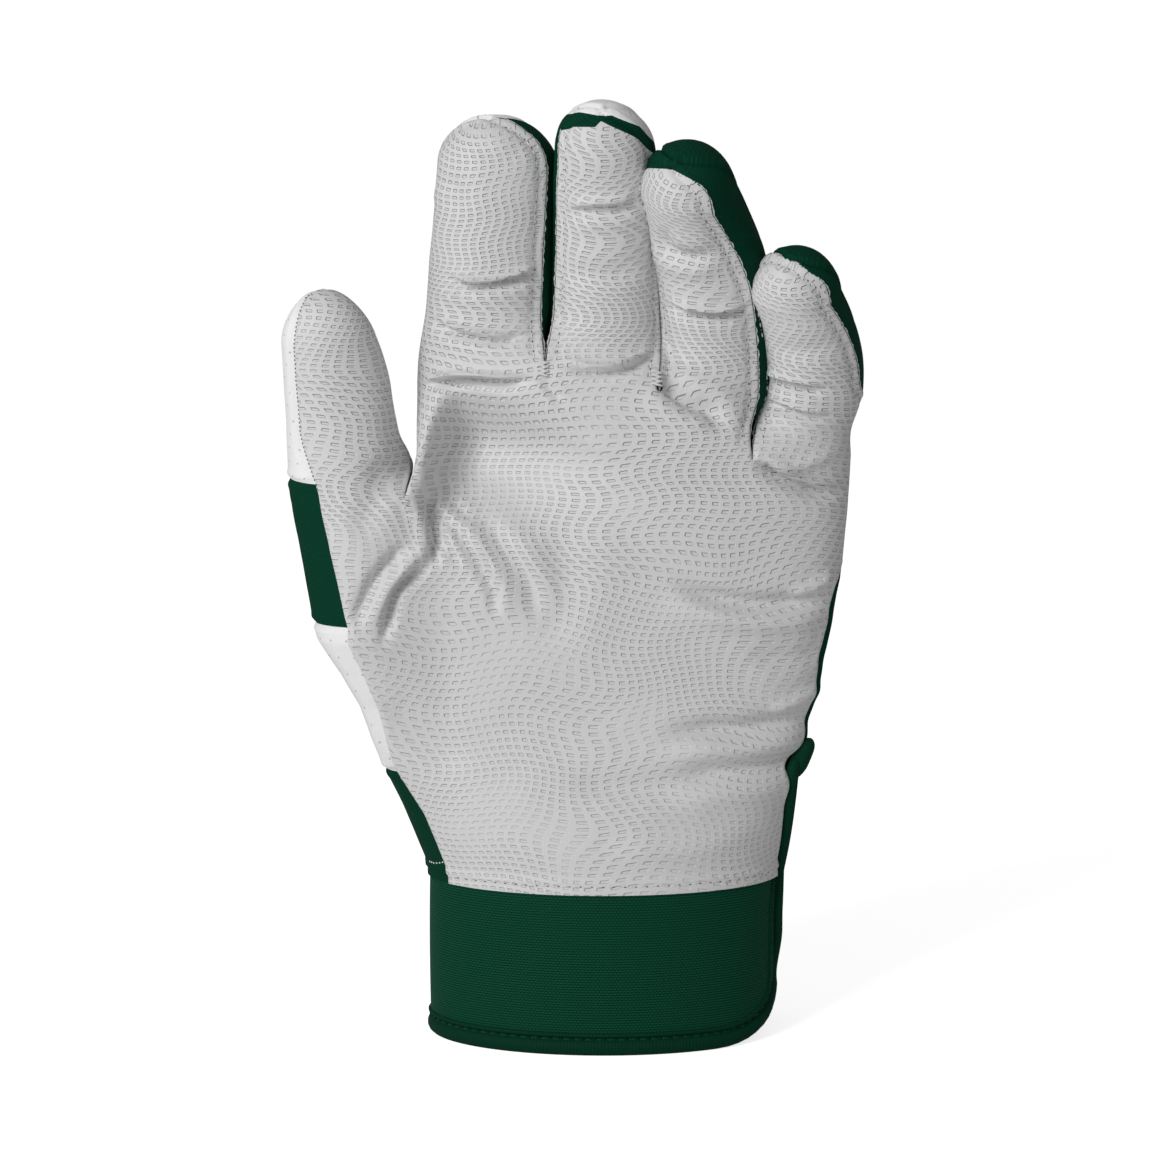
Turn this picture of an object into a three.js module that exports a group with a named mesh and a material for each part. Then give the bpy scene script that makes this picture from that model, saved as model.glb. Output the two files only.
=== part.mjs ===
// Batting glove for the left hand, filled out as on a hand: it stands on its cuff,
// the palm faces -Y, the fingers point up +Z and the thumb is on the -X side.
// One skin of quads is laid over the whole hand, and every panel is a patch of it given a wall.
import * as THREE from "three";

// Materials of the cut pieces
const LEATHER_WALL = 1.2;
const SEAM_GAP = 0.45;
const GUSSET_DRAW_IN = 1.35;

// Cuff, hem and wrist slit
const CUFF_HALF_WIDTH = 42;
const CUFF_HALF_DEPTH = 25;
const CUFF_TOP = 40;
const CUFF_WALL = 2.2;
const HEM_HEIGHT = 5.6;
const HEM_PROUD = 0.7;
const SLIT_TOP = 68.5;
const SLIT_PALM_DEG = 72;
const SLIT_BACK_DEG = 122;
const ULNAR_SEAM_DEG = 84;
const ULNAR_BACK_DEG = 105;
const SLIT_BINDING_RADIUS = 1.5;
const SLIT_TAB_RADIUS = 1.9;
const SLIT_TAB_LENGTH = 8.5;
const FIT_GAP = 0.3;

// Closure strap on the back of the cuff
const STRAP_HEIGHT = 29;
const STRAP_THICKNESS = 2;
const STRAP_RISE_START_DEG = 102;
const STRAP_RISE_END_DEG = 124;
const STRAP_END_DEG = 200;
const PATCH_THICKNESS = 1.1;
const PATCH_HEIGHT = 23;
const PATCH_REACH_DEG = 58;
const PULL_TAB_REACH_DEG = 14;
const PULL_TAB_PROUD = 1;

// Palm
const PALM_FRONT_DEPTH = 18;
const PALM_BACK_DEPTH = 15;
const PALM_SQUARENESS = 2.5;
const PALM_RADIAL_SWELL = 2.4;
const PALM_ULNAR_SWELL = 1;
const THUMB_ROOT_SWELL = 3.8;
const THUMB_ROOT_LENGTH = 32;
const KNUCKLE_CENTRE = 6.9;
const FINGER_GAP = 0.8;
const BASE_RISE = 16;

// Heights above the hem where two digits part, and how far above that each digit hinges
const THUMB_WEB_HEIGHT = 120;
const INDEX_MIDDLE_CROTCH = 161;
const MIDDLE_RING_CROTCH = 157;
const RING_LITTLE_CROTCH = 141;
const HINGE_RISE = 4;

// Radial side of the thumb, from the cuff upwards: stretch gusset, leather wedge, stretch insert, leather tip
const WRIST_GUSSET_TOP = 66;
const THUMB_WEDGE_BELOW_WEB = 22;
const THUMB_INSERT_ABOVE_WEB = 12;
const THUMB_WEDGE_TOP = THUMB_WEB_HEIGHT - THUMB_WEDGE_BELOW_WEB;
const THUMB_INSERT_TOP = THUMB_WEB_HEIGHT + THUMB_INSERT_ABOVE_WEB;
const THUMB_WEB_GAP = 1;
const THUMB_FORWARD = 9;

// Digits in order across the hand: half width and half depth at the foot, reach from the foot to the fingertip,
// length of the rounded tip, height of the second hinge above the first, sideways lean and bow, share of the
// width lost at the tip, and degrees of curl. Angles run round the section from the palm side, positive
// towards the little finger: frontLeft and frontRight bound the palm leather, backLeft and backRight the back.
const DIGITS = [
  { name: "thumb", halfWidth: 13.6, halfDepth: 11.5, reach: 61, tip: 12, knuckle: 26,
    lean: -5.2, bow: 0, taper: 0.3, curl: 20,
    frontLeft: -42, frontRight: 78, backRight: 118, backLeft: -128 },
  { name: "index", halfWidth: 14.8, halfDepth: 12, reach: 60.5, tip: 12, knuckle: 21,
    lean: 3.6, bow: 0, taper: 0.13, curl: 12,
    frontLeft: -75, frontRight: 62, backRight: 116, backLeft: -108 },
  { name: "middle", halfWidth: 12.8, halfDepth: 12, reach: 69.5, tip: 11, knuckle: 23,
    lean: -0.2, bow: 0, taper: 0.17, curl: 30,
    frontLeft: -64, frontRight: 60, backRight: 116, backLeft: -116 },
  { name: "ring", halfWidth: 10.6, halfDepth: 11.8, reach: 77.5, tip: 11, knuckle: 22,
    lean: -3, bow: 1.2, taper: 0.02, curl: 44,
    frontLeft: -76, frontRight: 48, backRight: 108, backLeft: -120 },
  { name: "little", halfWidth: 11.2, halfDepth: 10.8, reach: 51.8, tip: 11, knuckle: 18,
    lean: -4.5, bow: 4.6, taper: 0.08, curl: 38,
    frontLeft: -78, frontRight: 50, backRight: 106, backLeft: -120 },
];

// Facets of the skin
const FRONT_COLUMNS = 6;
const WALL_COLUMNS = 2;
const BACK_COLUMNS = 5;
const PALM_ROW = 11;
const DIGIT_ROW = 9;
const TIP_ROWS = [0.36, 0.64, 0.84, 0.95, 1];
const CUFF_SEGMENTS = 40;

const LEATHER = { color: 0xdcdcdc, roughness: 0.62, metalness: 0 };
const STRETCH = { color: 0x0b3b27, roughness: 0.85, metalness: 0 };
const NEOPRENE = { color: 0x0a4029, roughness: 0.8, metalness: 0 };
const BINDING = { color: 0x093723, roughness: 0.75, metalness: 0 };
const HOOK_AND_LOOP = { color: 0x08301f, roughness: 0.95, metalness: 0 };
const MOULDED_RUBBER = { color: 0x0c2a1d, roughness: 0.5, metalness: 0 };

const radians = THREE.MathUtils.degToRad;
const lerp = THREE.MathUtils.lerp;
const clamp01 = (value) => THREE.MathUtils.clamp(value, 0, 1);
const ease = (value) => THREE.MathUtils.smoothstep(value, 0, 1);
const signedPower = (value, power) => Math.sign(value) * Math.abs(value) ** power;
const mixPoints = (a, b, share) => a.clone().lerp(b, share);

// Where the digits stand: fingers side by side across the knuckles, the thumb left of the web
const [THUMB, INDEX, MIDDLE, RING, LITTLE] = DIGITS;
const FINGERS = [INDEX, MIDDLE, RING, LITTLE];
const knuckleWidth = FINGERS.reduce((sum, f) => sum + 2 * f.halfWidth, 0) + 3 * FINGER_GAP;
const knuckleLeft = KNUCKLE_CENTRE - knuckleWidth / 2;
const knuckleRight = KNUCKLE_CENTRE + knuckleWidth / 2;
let fingerEdge = knuckleLeft;
for (const finger of FINGERS) {
  finger.centre = fingerEdge + finger.halfWidth;
  fingerEdge += 2 * finger.halfWidth + FINGER_GAP;
}
const palmEdge = knuckleLeft - PALM_RADIAL_SWELL;
const webX = palmEdge - THUMB_WEB_GAP / 2;
THUMB.centre = palmEdge - THUMB_WEB_GAP - THUMB.halfWidth;
const thumbLeft = THUMB.centre - THUMB.halfWidth;

// Each digit's crotch heights on its left and right, its foot, hinge height and centre depth
const CROTCHES = [THUMB_WEB_HEIGHT, INDEX_MIDDLE_CROTCH, MIDDLE_RING_CROTCH, RING_LITTLE_CROTCH];
DIGITS.forEach((digit, k) => {
  const right = CROTCHES[Math.max(k, 1)] ?? CROTCHES[3];
  const left = CROTCHES[Math.max(k - 1, 1)];
  [digit.crotchLeft, digit.crotchRight] = k === 0 ? [CROTCHES[0], CROTCHES[0]] : [left, right];
  digit.foot = Math.min(digit.crotchLeft, digit.crotchRight);
  digit.hinge = Math.max(digit.crotchLeft, digit.crotchRight) + HINGE_RISE;
  digit.depth = k === 0 ? -THUMB_FORWARD : -2;
});

// Share of the way from one digit to the palm's cuff line, for the lines between strips
const STRIP_SPREAD = [-0.52, -0.16, 0.18, 0.52];
const stripTop = [webX, ...FINGERS.slice(1).map((f) => f.centre - f.halfWidth - FINGER_GAP / 2)];

// A bulge of the outline, full half way between two heights
const swell = (z, low, high) => Math.sin(Math.PI * clamp01((z - low) / (high - low)));

// Left and right outline of the hand at a height; the right one serves the palm with and without the thumb
function outline(z) {
  const left = clamp01((z - CUFF_TOP) / (THUMB_WEB_HEIGHT - CUFF_TOP));
  const right = clamp01((z - CUFF_TOP) / (RING_LITTLE_CROTCH - CUFF_TOP));
  return {
    handLeft: lerp(-CUFF_HALF_WIDTH, thumbLeft, left)
      - THUMB_ROOT_SWELL * swell(z, THUMB_WEB_HEIGHT - THUMB_ROOT_LENGTH, THUMB_WEB_HEIGHT),
    palmLeft: knuckleLeft - PALM_RADIAL_SWELL * swell(z, THUMB_WEB_HEIGHT, INDEX_MIDDLE_CROTCH + BASE_RISE),
    right: lerp(CUFF_HALF_WIDTH, knuckleRight, right * (1.35 - 0.35 * right))
      + PALM_ULNAR_SWELL * swell(z, SLIT_TOP, RING_LITTLE_CROTCH + BASE_RISE),
  };
}

// A section of the hand at a height: a squared ellipse, cut flat to nothing at its two edges
function section(z, withThumb) {
  const edge = outline(z);
  const left = withThumb ? edge.handLeft : edge.palmLeft;
  const up = ease((z - CUFF_TOP) / 45);
  return {
    z,
    middle: (left + edge.right) / 2,
    half: (edge.right - left) / 2,
    front: lerp(CUFF_HALF_DEPTH, PALM_FRONT_DEPTH, up),
    back: lerp(CUFF_HALF_DEPTH, PALM_BACK_DEPTH, up),
    power: lerp(2, PALM_SQUARENESS, up),
    thumbShift: withThumb ? up * THUMB_FORWARD : 0,
  };
}

// Point of a section at an angle from the palm side
function sectionPoint(s, angle) {
  const x = s.middle + s.half * signedPower(Math.sin(angle), 2 / s.power);
  const cosine = signedPower(Math.cos(angle), 2 / s.power);
  const towardsThumb = ease((knuckleLeft + 8 - x) / (2 * THUMB.halfWidth));
  const y = -(cosine > 0 ? s.front : s.back) * cosine - s.thumbShift * towardsThumb;
  return new THREE.Vector3(x, y, s.z);
}

function sectionAngle(s, x) {
  const share = THREE.MathUtils.clamp((x - s.middle) / s.half, -1, 1);
  return Math.asin(signedPower(share, s.power / 2));
}

// Skin of the undivided palm at a given x; above the web it closes round the index side without the thumb
function palmPoint(x, z, front) {
  const whole = section(z, true);
  const alone = section(z, false);
  const parted = ease((z - THUMB_WEB_HEIGHT) / BASE_RISE);
  const [a, b] = [whole, alone].map((s) => {
    const angle = sectionAngle(s, x);
    return sectionPoint(s, front ? angle : Math.PI - angle);
  });
  return mixPoints(a, b, parted);
}

const thumbSeam = (z) => radians(lerp(-72, -53, clamp01((z - CUFF_TOP) / (THUMB_WEB_HEIGHT - CUFF_TOP))));
const THUMB_BACK_SEAM = radians(-128);

// Edges of the wrist slit as angles: it narrows from the cuff to its head and goes on as the ulnar side
const slitShare = (z) => clamp01((z - CUFF_TOP) / (SLIT_TOP - CUFF_TOP));
const slitPalm = (z) => radians(lerp(SLIT_PALM_DEG, ULNAR_SEAM_DEG, slitShare(z)));
const slitBack = (z) => radians(lerp(SLIT_BACK_DEG, ULNAR_BACK_DEG, slitShare(z)));

// Point of the ulnar edge, the same with and without the thumb's width in the section
function ulnarPoint(z, angle) {
  const [a, b] = [true, false].map((withThumb) => sectionPoint(section(z, withThumb), angle));
  return mixPoints(a, b, ease((z - THUMB_WEB_HEIGHT) / BASE_RISE));
}

// The four lines that part the five strips, and the two outer seams, as x on the front or the back
function stripLine(line, z, front) {
  if (line === 0) return sectionPoint(section(z, true), front ? thumbSeam(z) : THUMB_BACK_SEAM).x;
  if (line === 5) return ulnarPoint(z, front ? slitPalm(z) : slitBack(z)).x;
  const rise = clamp01((z - CUFF_TOP) / (CROTCHES[line - 1] - CUFF_TOP));
  const x = lerp(STRIP_SPREAD[line - 1] * CUFF_HALF_WIDTH, stripTop[line - 1], rise);
  if (line !== 1) return x;
  const seam = sectionPoint(section(z, false), radians(front ? INDEX.frontLeft : INDEX.backLeft)).x;
  return lerp(x, seam, ease((z - THUMB_WEB_HEIGHT) / BASE_RISE));
}

// The thumb's strip keeps the whole hand's section above the web, and meets the palm only at the web's own line
function thumbPoint(x, fromSeam, z, front) {
  const whole = section(z, true);
  const place = (value) => {
    const angle = sectionAngle(whole, value);
    return sectionPoint(whole, front ? angle : Math.PI - angle);
  };
  const web = stripLine(1, z, front);
  const shift = palmPoint(web, z, front).sub(place(web));
  return place(x).addScaledVector(shift, ease(fromSeam));
}

// Palm form of strip k. Zones: front (left to right), right (front to back), back (right to left), left.
function palmForm(k, zone, share, z) {
  const x = (line, front) => stripLine(line, z, front);
  if (k === 0 && zone === "front") return thumbPoint(lerp(x(0, true), x(1, true), share), share, z, true);
  if (k === 0 && zone === "back") return thumbPoint(lerp(x(1, false), x(0, false), share), 1 - share, z, false);
  if (zone === "front") return palmPoint(lerp(x(k, true), x(k + 1, true), share), z, true);
  if (zone === "back") return palmPoint(lerp(x(k + 1, false), x(k, false), share), z, false);
  const line = zone === "right" ? k + 1 : k;
  const travel = zone === "right" ? share : 1 - share;
  if (line === 0) return sectionPoint(section(z, true), lerp(thumbSeam(z), THUMB_BACK_SEAM, travel));
  if (line === 5) {
    const ends = [palmPoint(x(5, true), z, true), palmPoint(x(5, false), z, false)];
    const angles = [slitPalm(z), slitBack(z)];
    const chord = mixPoints(ulnarPoint(z, angles[0]), ulnarPoint(z, angles[1]), travel);
    const bulge = ulnarPoint(z, lerp(angles[0], angles[1], travel)).sub(chord);
    return mixPoints(ends[0], ends[1], travel).add(bulge);
  }
  const straight = mixPoints(palmPoint(x(line, true), z, true), palmPoint(x(line, false), z, false), travel);
  if (line !== 1) return straight;
  const alone = section(z, false);
  const start = sectionAngle(alone, x(1, true));
  const end = -Math.PI - sectionAngle(alone, x(1, false));
  const chord = mixPoints(sectionPoint(alone, start), sectionPoint(alone, end), travel);
  const bulge = sectionPoint(alone, lerp(start, end, travel)).sub(chord);
  return straight.addScaledVector(bulge, ease((z - THUMB_WEB_HEIGHT) / BASE_RISE));
}

// A digit's centre line rises straight to its hinge and then curls towards the palm on an arc
function digitFrame(digit, h) {
  const straight = digit.hinge - digit.foot;
  const radius = (digit.reach - straight) / radians(digit.curl);
  const turn = Math.max(h - straight, 0) / radius;
  const rise = Math.min(h, straight) + radius * Math.sin(turn);
  const share = h / digit.reach;
  const x = digit.centre + digit.lean * share + digit.bow * Math.sin(Math.PI * clamp01(share));
  const centre = new THREE.Vector3(x, digit.depth - radius * (1 - Math.cos(turn)), digit.foot + rise);
  return { centre, forward: new THREE.Vector3(0, -Math.cos(turn), -Math.sin(turn)) };
}

function digitForm(digit, zone, share, h) {
  const around = {
    front: [digit.frontLeft, digit.frontRight],
    right: [digit.frontRight, digit.backRight],
    back: [digit.backRight, 360 + digit.backLeft],
    left: [360 + digit.backLeft, 360 + digit.frontLeft],
  }[zone];
  const angle = radians(lerp(around[0], around[1], share));
  const cap = clamp01((h - (digit.reach - digit.tip)) / digit.tip);
  const size = (1 - digit.taper * (h / digit.reach)) * Math.sqrt(1 - cap * cap);
  const { centre, forward } = digitFrame(digit, h);
  return centre
    .addScaledVector(new THREE.Vector3(1, 0, 0), digit.halfWidth * size * Math.sin(angle))
    .addScaledVector(forward, digit.halfDepth * size * Math.cos(angle));
}

// A point of the glove's skin: palm below the crotches, digit above them, eased over the foot of the digit
function skinPoint(k, zone, share, z, h) {
  const digit = DIGITS[k];
  const across = { front: share, right: 1, back: 1 - share, left: 0 }[zone];
  const crotch = lerp(digit.crotchLeft, digit.crotchRight, across);
  const parted = ease((z - crotch) / BASE_RISE);
  if (parted <= 0) return palmForm(k, zone, share, z);
  const own = digitForm(digit, zone, share, h);
  return parted >= 1 ? own : mixPoints(palmForm(k, zone, share, z), own, parted);
}

// Heights from a list with rows of about one spacing between them
function spacedHeights(fixed, spacing) {
  const heights = [fixed[0]];
  for (const height of fixed.slice(1)) {
    const last = heights.at(-1);
    const steps = Math.max(1, Math.round((height - last) / spacing));
    for (let i = 1; i <= steps && height > last; i++) heights.push(lerp(last, height, i / steps));
  }
  return heights;
}

// Levels shared by every strip of the palm, with each crotch, hinge and seam height among them
const palmLevels = spacedHeights([
  CUFF_TOP, WRIST_GUSSET_TOP, SLIT_TOP, THUMB_WEDGE_TOP, ...CROTCHES, ...DIGITS.map((d) => d.hinge),
].sort((a, b) => a - b), PALM_ROW);

// Rows of one strip: the shared levels up to the digit's hinge, then its own rows to the fingertip
function stripRows(digit) {
  const rows = palmLevels.filter((z) => z <= digit.hinge).map((z) => ({ z, h: z - digit.foot, segment: "hand" }));
  const straight = digit.hinge - digit.foot;
  const second = straight + digit.knuckle;
  const shoulder = digit.reach - digit.tip;
  const seams = digit === THUMB ? [THUMB_INSERT_TOP - digit.foot] : [];
  const heights = spacedHeights([straight, ...seams, second, shoulder].sort((a, b) => a - b), DIGIT_ROW);
  for (const share of TIP_ROWS) heights.push(shoulder + share * digit.tip);
  rows.pop();
  return rows.concat(heights.map((h) => {
    const segment = h < second - 1e-6 ? "base" : "end";
    return { z: digitFrame(digit, h).centre.z, h, segment };
  }));
}

// The whole skin as shared vertices and quads, each quad tagged with its strip, zone, height and segment
const vertices = [];
const vertexAt = new Map();
const quads = [];

function vertexIndex(point) {
  const key = [point.x, point.y, point.z].map((v) => Math.round(v * 1000)).join(",");
  if (!vertexAt.has(key)) {
    vertexAt.set(key, vertices.length);
    vertices.push(point);
  }
  return vertexAt.get(key);
}

const COLUMNS = { front: FRONT_COLUMNS, right: WALL_COLUMNS, back: BACK_COLUMNS, left: WALL_COLUMNS };
DIGITS.forEach((digit, k) => {
  const rows = stripRows(digit);
  for (const [zone, columns] of Object.entries(COLUMNS)) {
    const inside = (zone === "right" && k < 4) || (zone === "left" && k > 0);
    const start = zone === "left" ? CROTCHES[k - 1] : CROTCHES[k];
    const grid = rows.map((row) =>
      Array.from({ length: columns + 1 }, (_, c) => vertexIndex(skinPoint(k, zone, c / columns, row.z, row.h))),
    );
    for (let r = 0; r + 1 < rows.length; r++) {
      if (inside && rows[r].z < start - 1e-6) continue;
      for (let c = 0; c < columns; c++) {
        const corners = [grid[r][c], grid[r][c + 1], grid[r + 1][c + 1], grid[r + 1][c]];
        quads.push({ corners, k, zone, low: rows[r].z, segment: rows[r].segment });
      }
    }
  }
});

// The two triangles of a quad, without the one that collapses at a fingertip
function trianglesOf([a, b, c, d]) {
  return [[a, b, c], [a, c, d]].filter(([p, q, r]) => p !== q && q !== r && p !== r);
}

const normals = vertices.map(() => new THREE.Vector3());
for (const quad of quads) {
  for (const triangle of trianglesOf(quad.corners)) {
    const [a, b, c] = triangle.map((i) => vertices[i]);
    const normal = b.clone().sub(a).cross(c.clone().sub(a));
    for (const i of triangle) normals[i].add(normal);
  }
}
normals.forEach((normal) => normal.normalize());

// A panel: its quads drawn in from their edge by half the seam gap, with an inner face one wall below
function panelGeometry(panelQuads, wall, drawIn) {
  const edges = new Map();
  const pull = new Map();
  for (const quad of panelQuads) {
    const middle = new THREE.Vector3();
    for (const i of quad.corners) middle.addScaledVector(vertices[i], 1 / 4);
    for (const i of quad.corners) pull.set(i, [...(pull.get(i) ?? []), middle]);
    for (const triangle of trianglesOf(quad.corners)) {
      triangle.forEach((from, i) => {
        const to = triangle[(i + 1) % 3];
        if (!edges.delete(`${to},${from}`)) edges.set(`${from},${to}`, [from, to]);
      });
    }
  }
  const onEdge = new Set([...edges.values()].flat());
  const drawnIn = (i) => {
    if (!onEdge.has(i)) return new THREE.Vector3();
    const inward = pull.get(i).reduce((sum, m) => sum.add(m), new THREE.Vector3());
    inward.divideScalar(pull.get(i).length).sub(vertices[i]);
    return inward.setLength(drawIn);
  };
  const outer = (i) => vertices[i].clone().add(drawnIn(i));
  const inner = (i) => outer(i).addScaledVector(normals[i], -wall);
  const positions = [];
  const addTriangle = (...points) => points.forEach((p) => positions.push(p.x, p.y, p.z));
  for (const quad of panelQuads) {
    for (const [a, b, c] of trianglesOf(quad.corners)) {
      addTriangle(outer(a), outer(b), outer(c));
      addTriangle(inner(c), inner(b), inner(a));
    }
  }
  for (const [from, to] of edges.values()) {
    addTriangle(outer(to), outer(from), inner(from));
    addTriangle(outer(to), inner(from), inner(to));
  }
  return new THREE.BufferGeometry().setAttribute("position", new THREE.Float32BufferAttribute(positions, 3));
}

const glove = new THREE.Group();
const materials = new Map();

function addMesh(name, geometry, finish) {
  if (!materials.has(finish)) materials.set(finish, new THREE.MeshStandardMaterial(finish));
  const mesh = new THREE.Mesh(geometry, materials.get(finish));
  mesh.name = name;
  glove.add(mesh);
  return mesh;
}

function addPanel(name, finish, belongs, drawIn = 0.75 * SEAM_GAP) {
  addMesh(name, panelGeometry(quads.filter(belongs), LEATHER_WALL, drawIn), finish);
}

// Panels of the hand: one palm leather, one back, and the pieces between the fingers and along the ulnar side
addPanel("palm_panel", LEATHER, (q) => q.segment === "hand"
  && (q.zone === "front" || (q.zone === "right" && q.k === 0) || (q.zone === "left" && q.k === 1)));
addPanel("back_panel", STRETCH, (q) => q.segment === "hand" && q.zone === "back");
FINGERS.slice(1).forEach((finger, i) => {
  const [left, right] = [i + 1, i + 2];
  addPanel(`gusset_${FINGERS[i].name}_${finger.name}`, STRETCH, (q) => q.segment === "hand"
    && ((q.k === left && q.zone === "right") || (q.k === right && q.zone === "left")), GUSSET_DRAW_IN);
});
addPanel("ulnar_side", STRETCH, (q) =>
  q.segment === "hand" && q.k === 4 && q.zone === "right" && q.low >= SLIT_TOP - 1e-6);

// Radial side of the hand and thumb, one piece above the other
const RADIAL_PIECES = [
  ["wrist_gusset", STRETCH, "hand", CUFF_TOP, WRIST_GUSSET_TOP],
  ["thumb_wedge", LEATHER, "hand", WRIST_GUSSET_TOP, THUMB_WEDGE_TOP],
  ["thumb_insert_lower", STRETCH, "hand", THUMB_WEDGE_TOP, THUMB_INSERT_TOP],
  ["thumb_insert", STRETCH, "base", THUMB_WEDGE_TOP, THUMB_INSERT_TOP],
  ["thumb_base_side", LEATHER, "base", THUMB_INSERT_TOP, Infinity],
  ["thumb_end_side", LEATHER, "end", THUMB_INSERT_TOP, Infinity],
];
for (const [name, finish, segment, low, high] of RADIAL_PIECES) {
  addPanel(name, finish, (q) => q.k === 0 && q.zone === "left" && q.segment === segment
    && q.low >= low - 1e-3 && q.low < high - 1e-3);
}

// Digits: palm leather, back, and the strips between neighbouring fingers, each below and above the knuckle
const DIGIT_PIECES = [
  ["thumb", "front", LEATHER, ["front", "right"]],
  ["thumb", "back", STRETCH, ["back"]],
  ["index", "front", LEATHER, ["front", "left"]],
  ["index", "back", LEATHER, ["back"]],
  ["index", "ulnar_fourchette", STRETCH, ["right"]],
  ["middle", "front", LEATHER, ["front"]],
  ["middle", "back", LEATHER, ["back"]],
  ["middle", "radial_fourchette", STRETCH, ["left"]],
  ["middle", "ulnar_fourchette", STRETCH, ["right"]],
  ["ring", "front", LEATHER, ["front"]],
  ["ring", "back", STRETCH, ["back"]],
  ["ring", "radial_fourchette", STRETCH, ["left"]],
  ["ring", "ulnar_fourchette", STRETCH, ["right"]],
  ["little", "front", LEATHER, ["front"]],
  ["little", "back", STRETCH, ["back"]],
  ["little", "radial_fourchette", STRETCH, ["left"]],
  ["little", "ulnar_fourchette", STRETCH, ["right"]],
];
for (const segment of ["base", "end"]) {
  for (const [digit, piece, finish, zones] of DIGIT_PIECES) {
    addPanel(`${digit}_${segment}_${piece}`, finish, (q) =>
      DIGITS[q.k].name === digit && q.segment === segment && zones.includes(q.zone));
  }
}

// A band round the wrist: a wall over the cuff's ellipse between two angles, whose outer face stands off
// the cuff by an amount that can change along the band
function wristBand(startDeg, endDeg, standOff, thickness, height) {
  const point = (angle, out) =>
    new THREE.Vector2((CUFF_HALF_WIDTH + out) * Math.sin(angle), -(CUFF_HALF_DEPTH + out) * Math.cos(angle));
  const steps = Math.max(3, Math.round((CUFF_SEGMENTS * (endDeg - startDeg)) / 360));
  const outside = [];
  const inside = [];
  for (let i = 0; i <= steps; i++) {
    const angle = lerp(startDeg, endDeg, i / steps);
    const out = typeof standOff === "function" ? standOff(angle) : standOff;
    outside.push(point(radians(angle), out));
    inside.unshift(point(radians(angle), out - thickness));
  }
  return new THREE.ExtrudeGeometry(new THREE.Shape([...outside, ...inside]), { depth: height, bevelEnabled: false });
}

const bandStart = SLIT_BACK_DEG - 360;
addMesh("cuff_band", wristBand(bandStart, SLIT_PALM_DEG, 0, CUFF_WALL, CUFF_TOP - HEM_HEIGHT - 2 * FIT_GAP), NEOPRENE)
  .position.z = HEM_HEIGHT + FIT_GAP;
addMesh("hem_binding",
  wristBand(bandStart, SLIT_PALM_DEG, HEM_PROUD, CUFF_WALL + 2 * HEM_PROUD, HEM_HEIGHT), BINDING);

// Bound edges of the wrist slit, from the top of the hem to the head of the slit
function slitBinding(palmSide) {
  const points = [];
  const reach = SLIT_BINDING_RADIUS + FIT_GAP + SEAM_GAP / 2;
  const intoSlit = radians(palmSide ? 1 : -1);
  const low = HEM_HEIGHT + FIT_GAP;
  for (const z of [low, (low + CUFF_TOP) / 2, CUFF_TOP, (CUFF_TOP + SLIT_TOP) / 2, SLIT_TOP - FIT_GAP]) {
    const level = Math.max(z, CUFF_TOP);
    const angle = palmSide ? slitPalm(level) : slitBack(level);
    const edge = sectionPoint(section(level, true), angle);
    const along = sectionPoint(section(level, true), angle + intoSlit).sub(edge).normalize();
    const inward = new THREE.Vector3(-along.y, along.x, 0).multiplyScalar(Math.sign(intoSlit));
    points.push(edge.addScaledVector(along, reach).addScaledVector(inward, LEATHER_WALL).setZ(z));
  }
  const shape = new THREE.Shape().absarc(0, 0, SLIT_BINDING_RADIUS, 0, 2 * Math.PI);
  const path = new THREE.CatmullRomCurve3(points);
  return new THREE.ExtrudeGeometry(shape, { extrudePath: path, steps: 10, curveSegments: 4, bevelEnabled: false });
}
addMesh("slit_binding_palm", slitBinding(true), BINDING);
addMesh("slit_binding_back", slitBinding(false), BINDING);

// Folded tab that closes the head of the slit, standing proud of the ulnar side
const head = ulnarPoint(SLIT_TOP, (slitPalm(SLIT_TOP) + slitBack(SLIT_TOP)) / 2);
const tab = addMesh("slit_tab",
  new THREE.CapsuleGeometry(SLIT_TAB_RADIUS, SLIT_TAB_LENGTH - 2 * SLIT_TAB_RADIUS, 3, 10), BINDING);
tab.rotation.x = Math.PI / 2;
tab.position.set(head.x + SLIT_TAB_RADIUS + 1.5 * FIT_GAP, head.y, SLIT_TOP);

// Closure strap: sewn at the palm-side edge of the slit, it fills the slit and lies over the back of the cuff
const strapLow = (HEM_HEIGHT + CUFF_TOP - STRAP_HEIGHT) / 2;
const patchLow = (HEM_HEIGHT + CUFF_TOP - PATCH_HEIGHT) / 2;
const strapFloor = 2 * PATCH_THICKNESS + 3 * FIT_GAP;
const strapOff = (angle) =>
  (strapFloor + STRAP_THICKNESS) * ease((angle - STRAP_RISE_START_DEG) / (STRAP_RISE_END_DEG - STRAP_RISE_START_DEG));

// Degrees round the cuff's ellipse that a length takes at an angle
function degreesAlong(angle, length) {
  const speed = Math.hypot(CUFF_HALF_WIDTH * Math.cos(radians(angle)), CUFF_HALF_DEPTH * Math.sin(radians(angle)));
  return THREE.MathUtils.radToDeg(length / speed);
}
const strapStart = SLIT_PALM_DEG
  + degreesAlong(SLIT_PALM_DEG, 2 * SLIT_BINDING_RADIUS + 3 * FIT_GAP + SEAM_GAP);
const patchStart = STRAP_END_DEG - PATCH_REACH_DEG;

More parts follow.
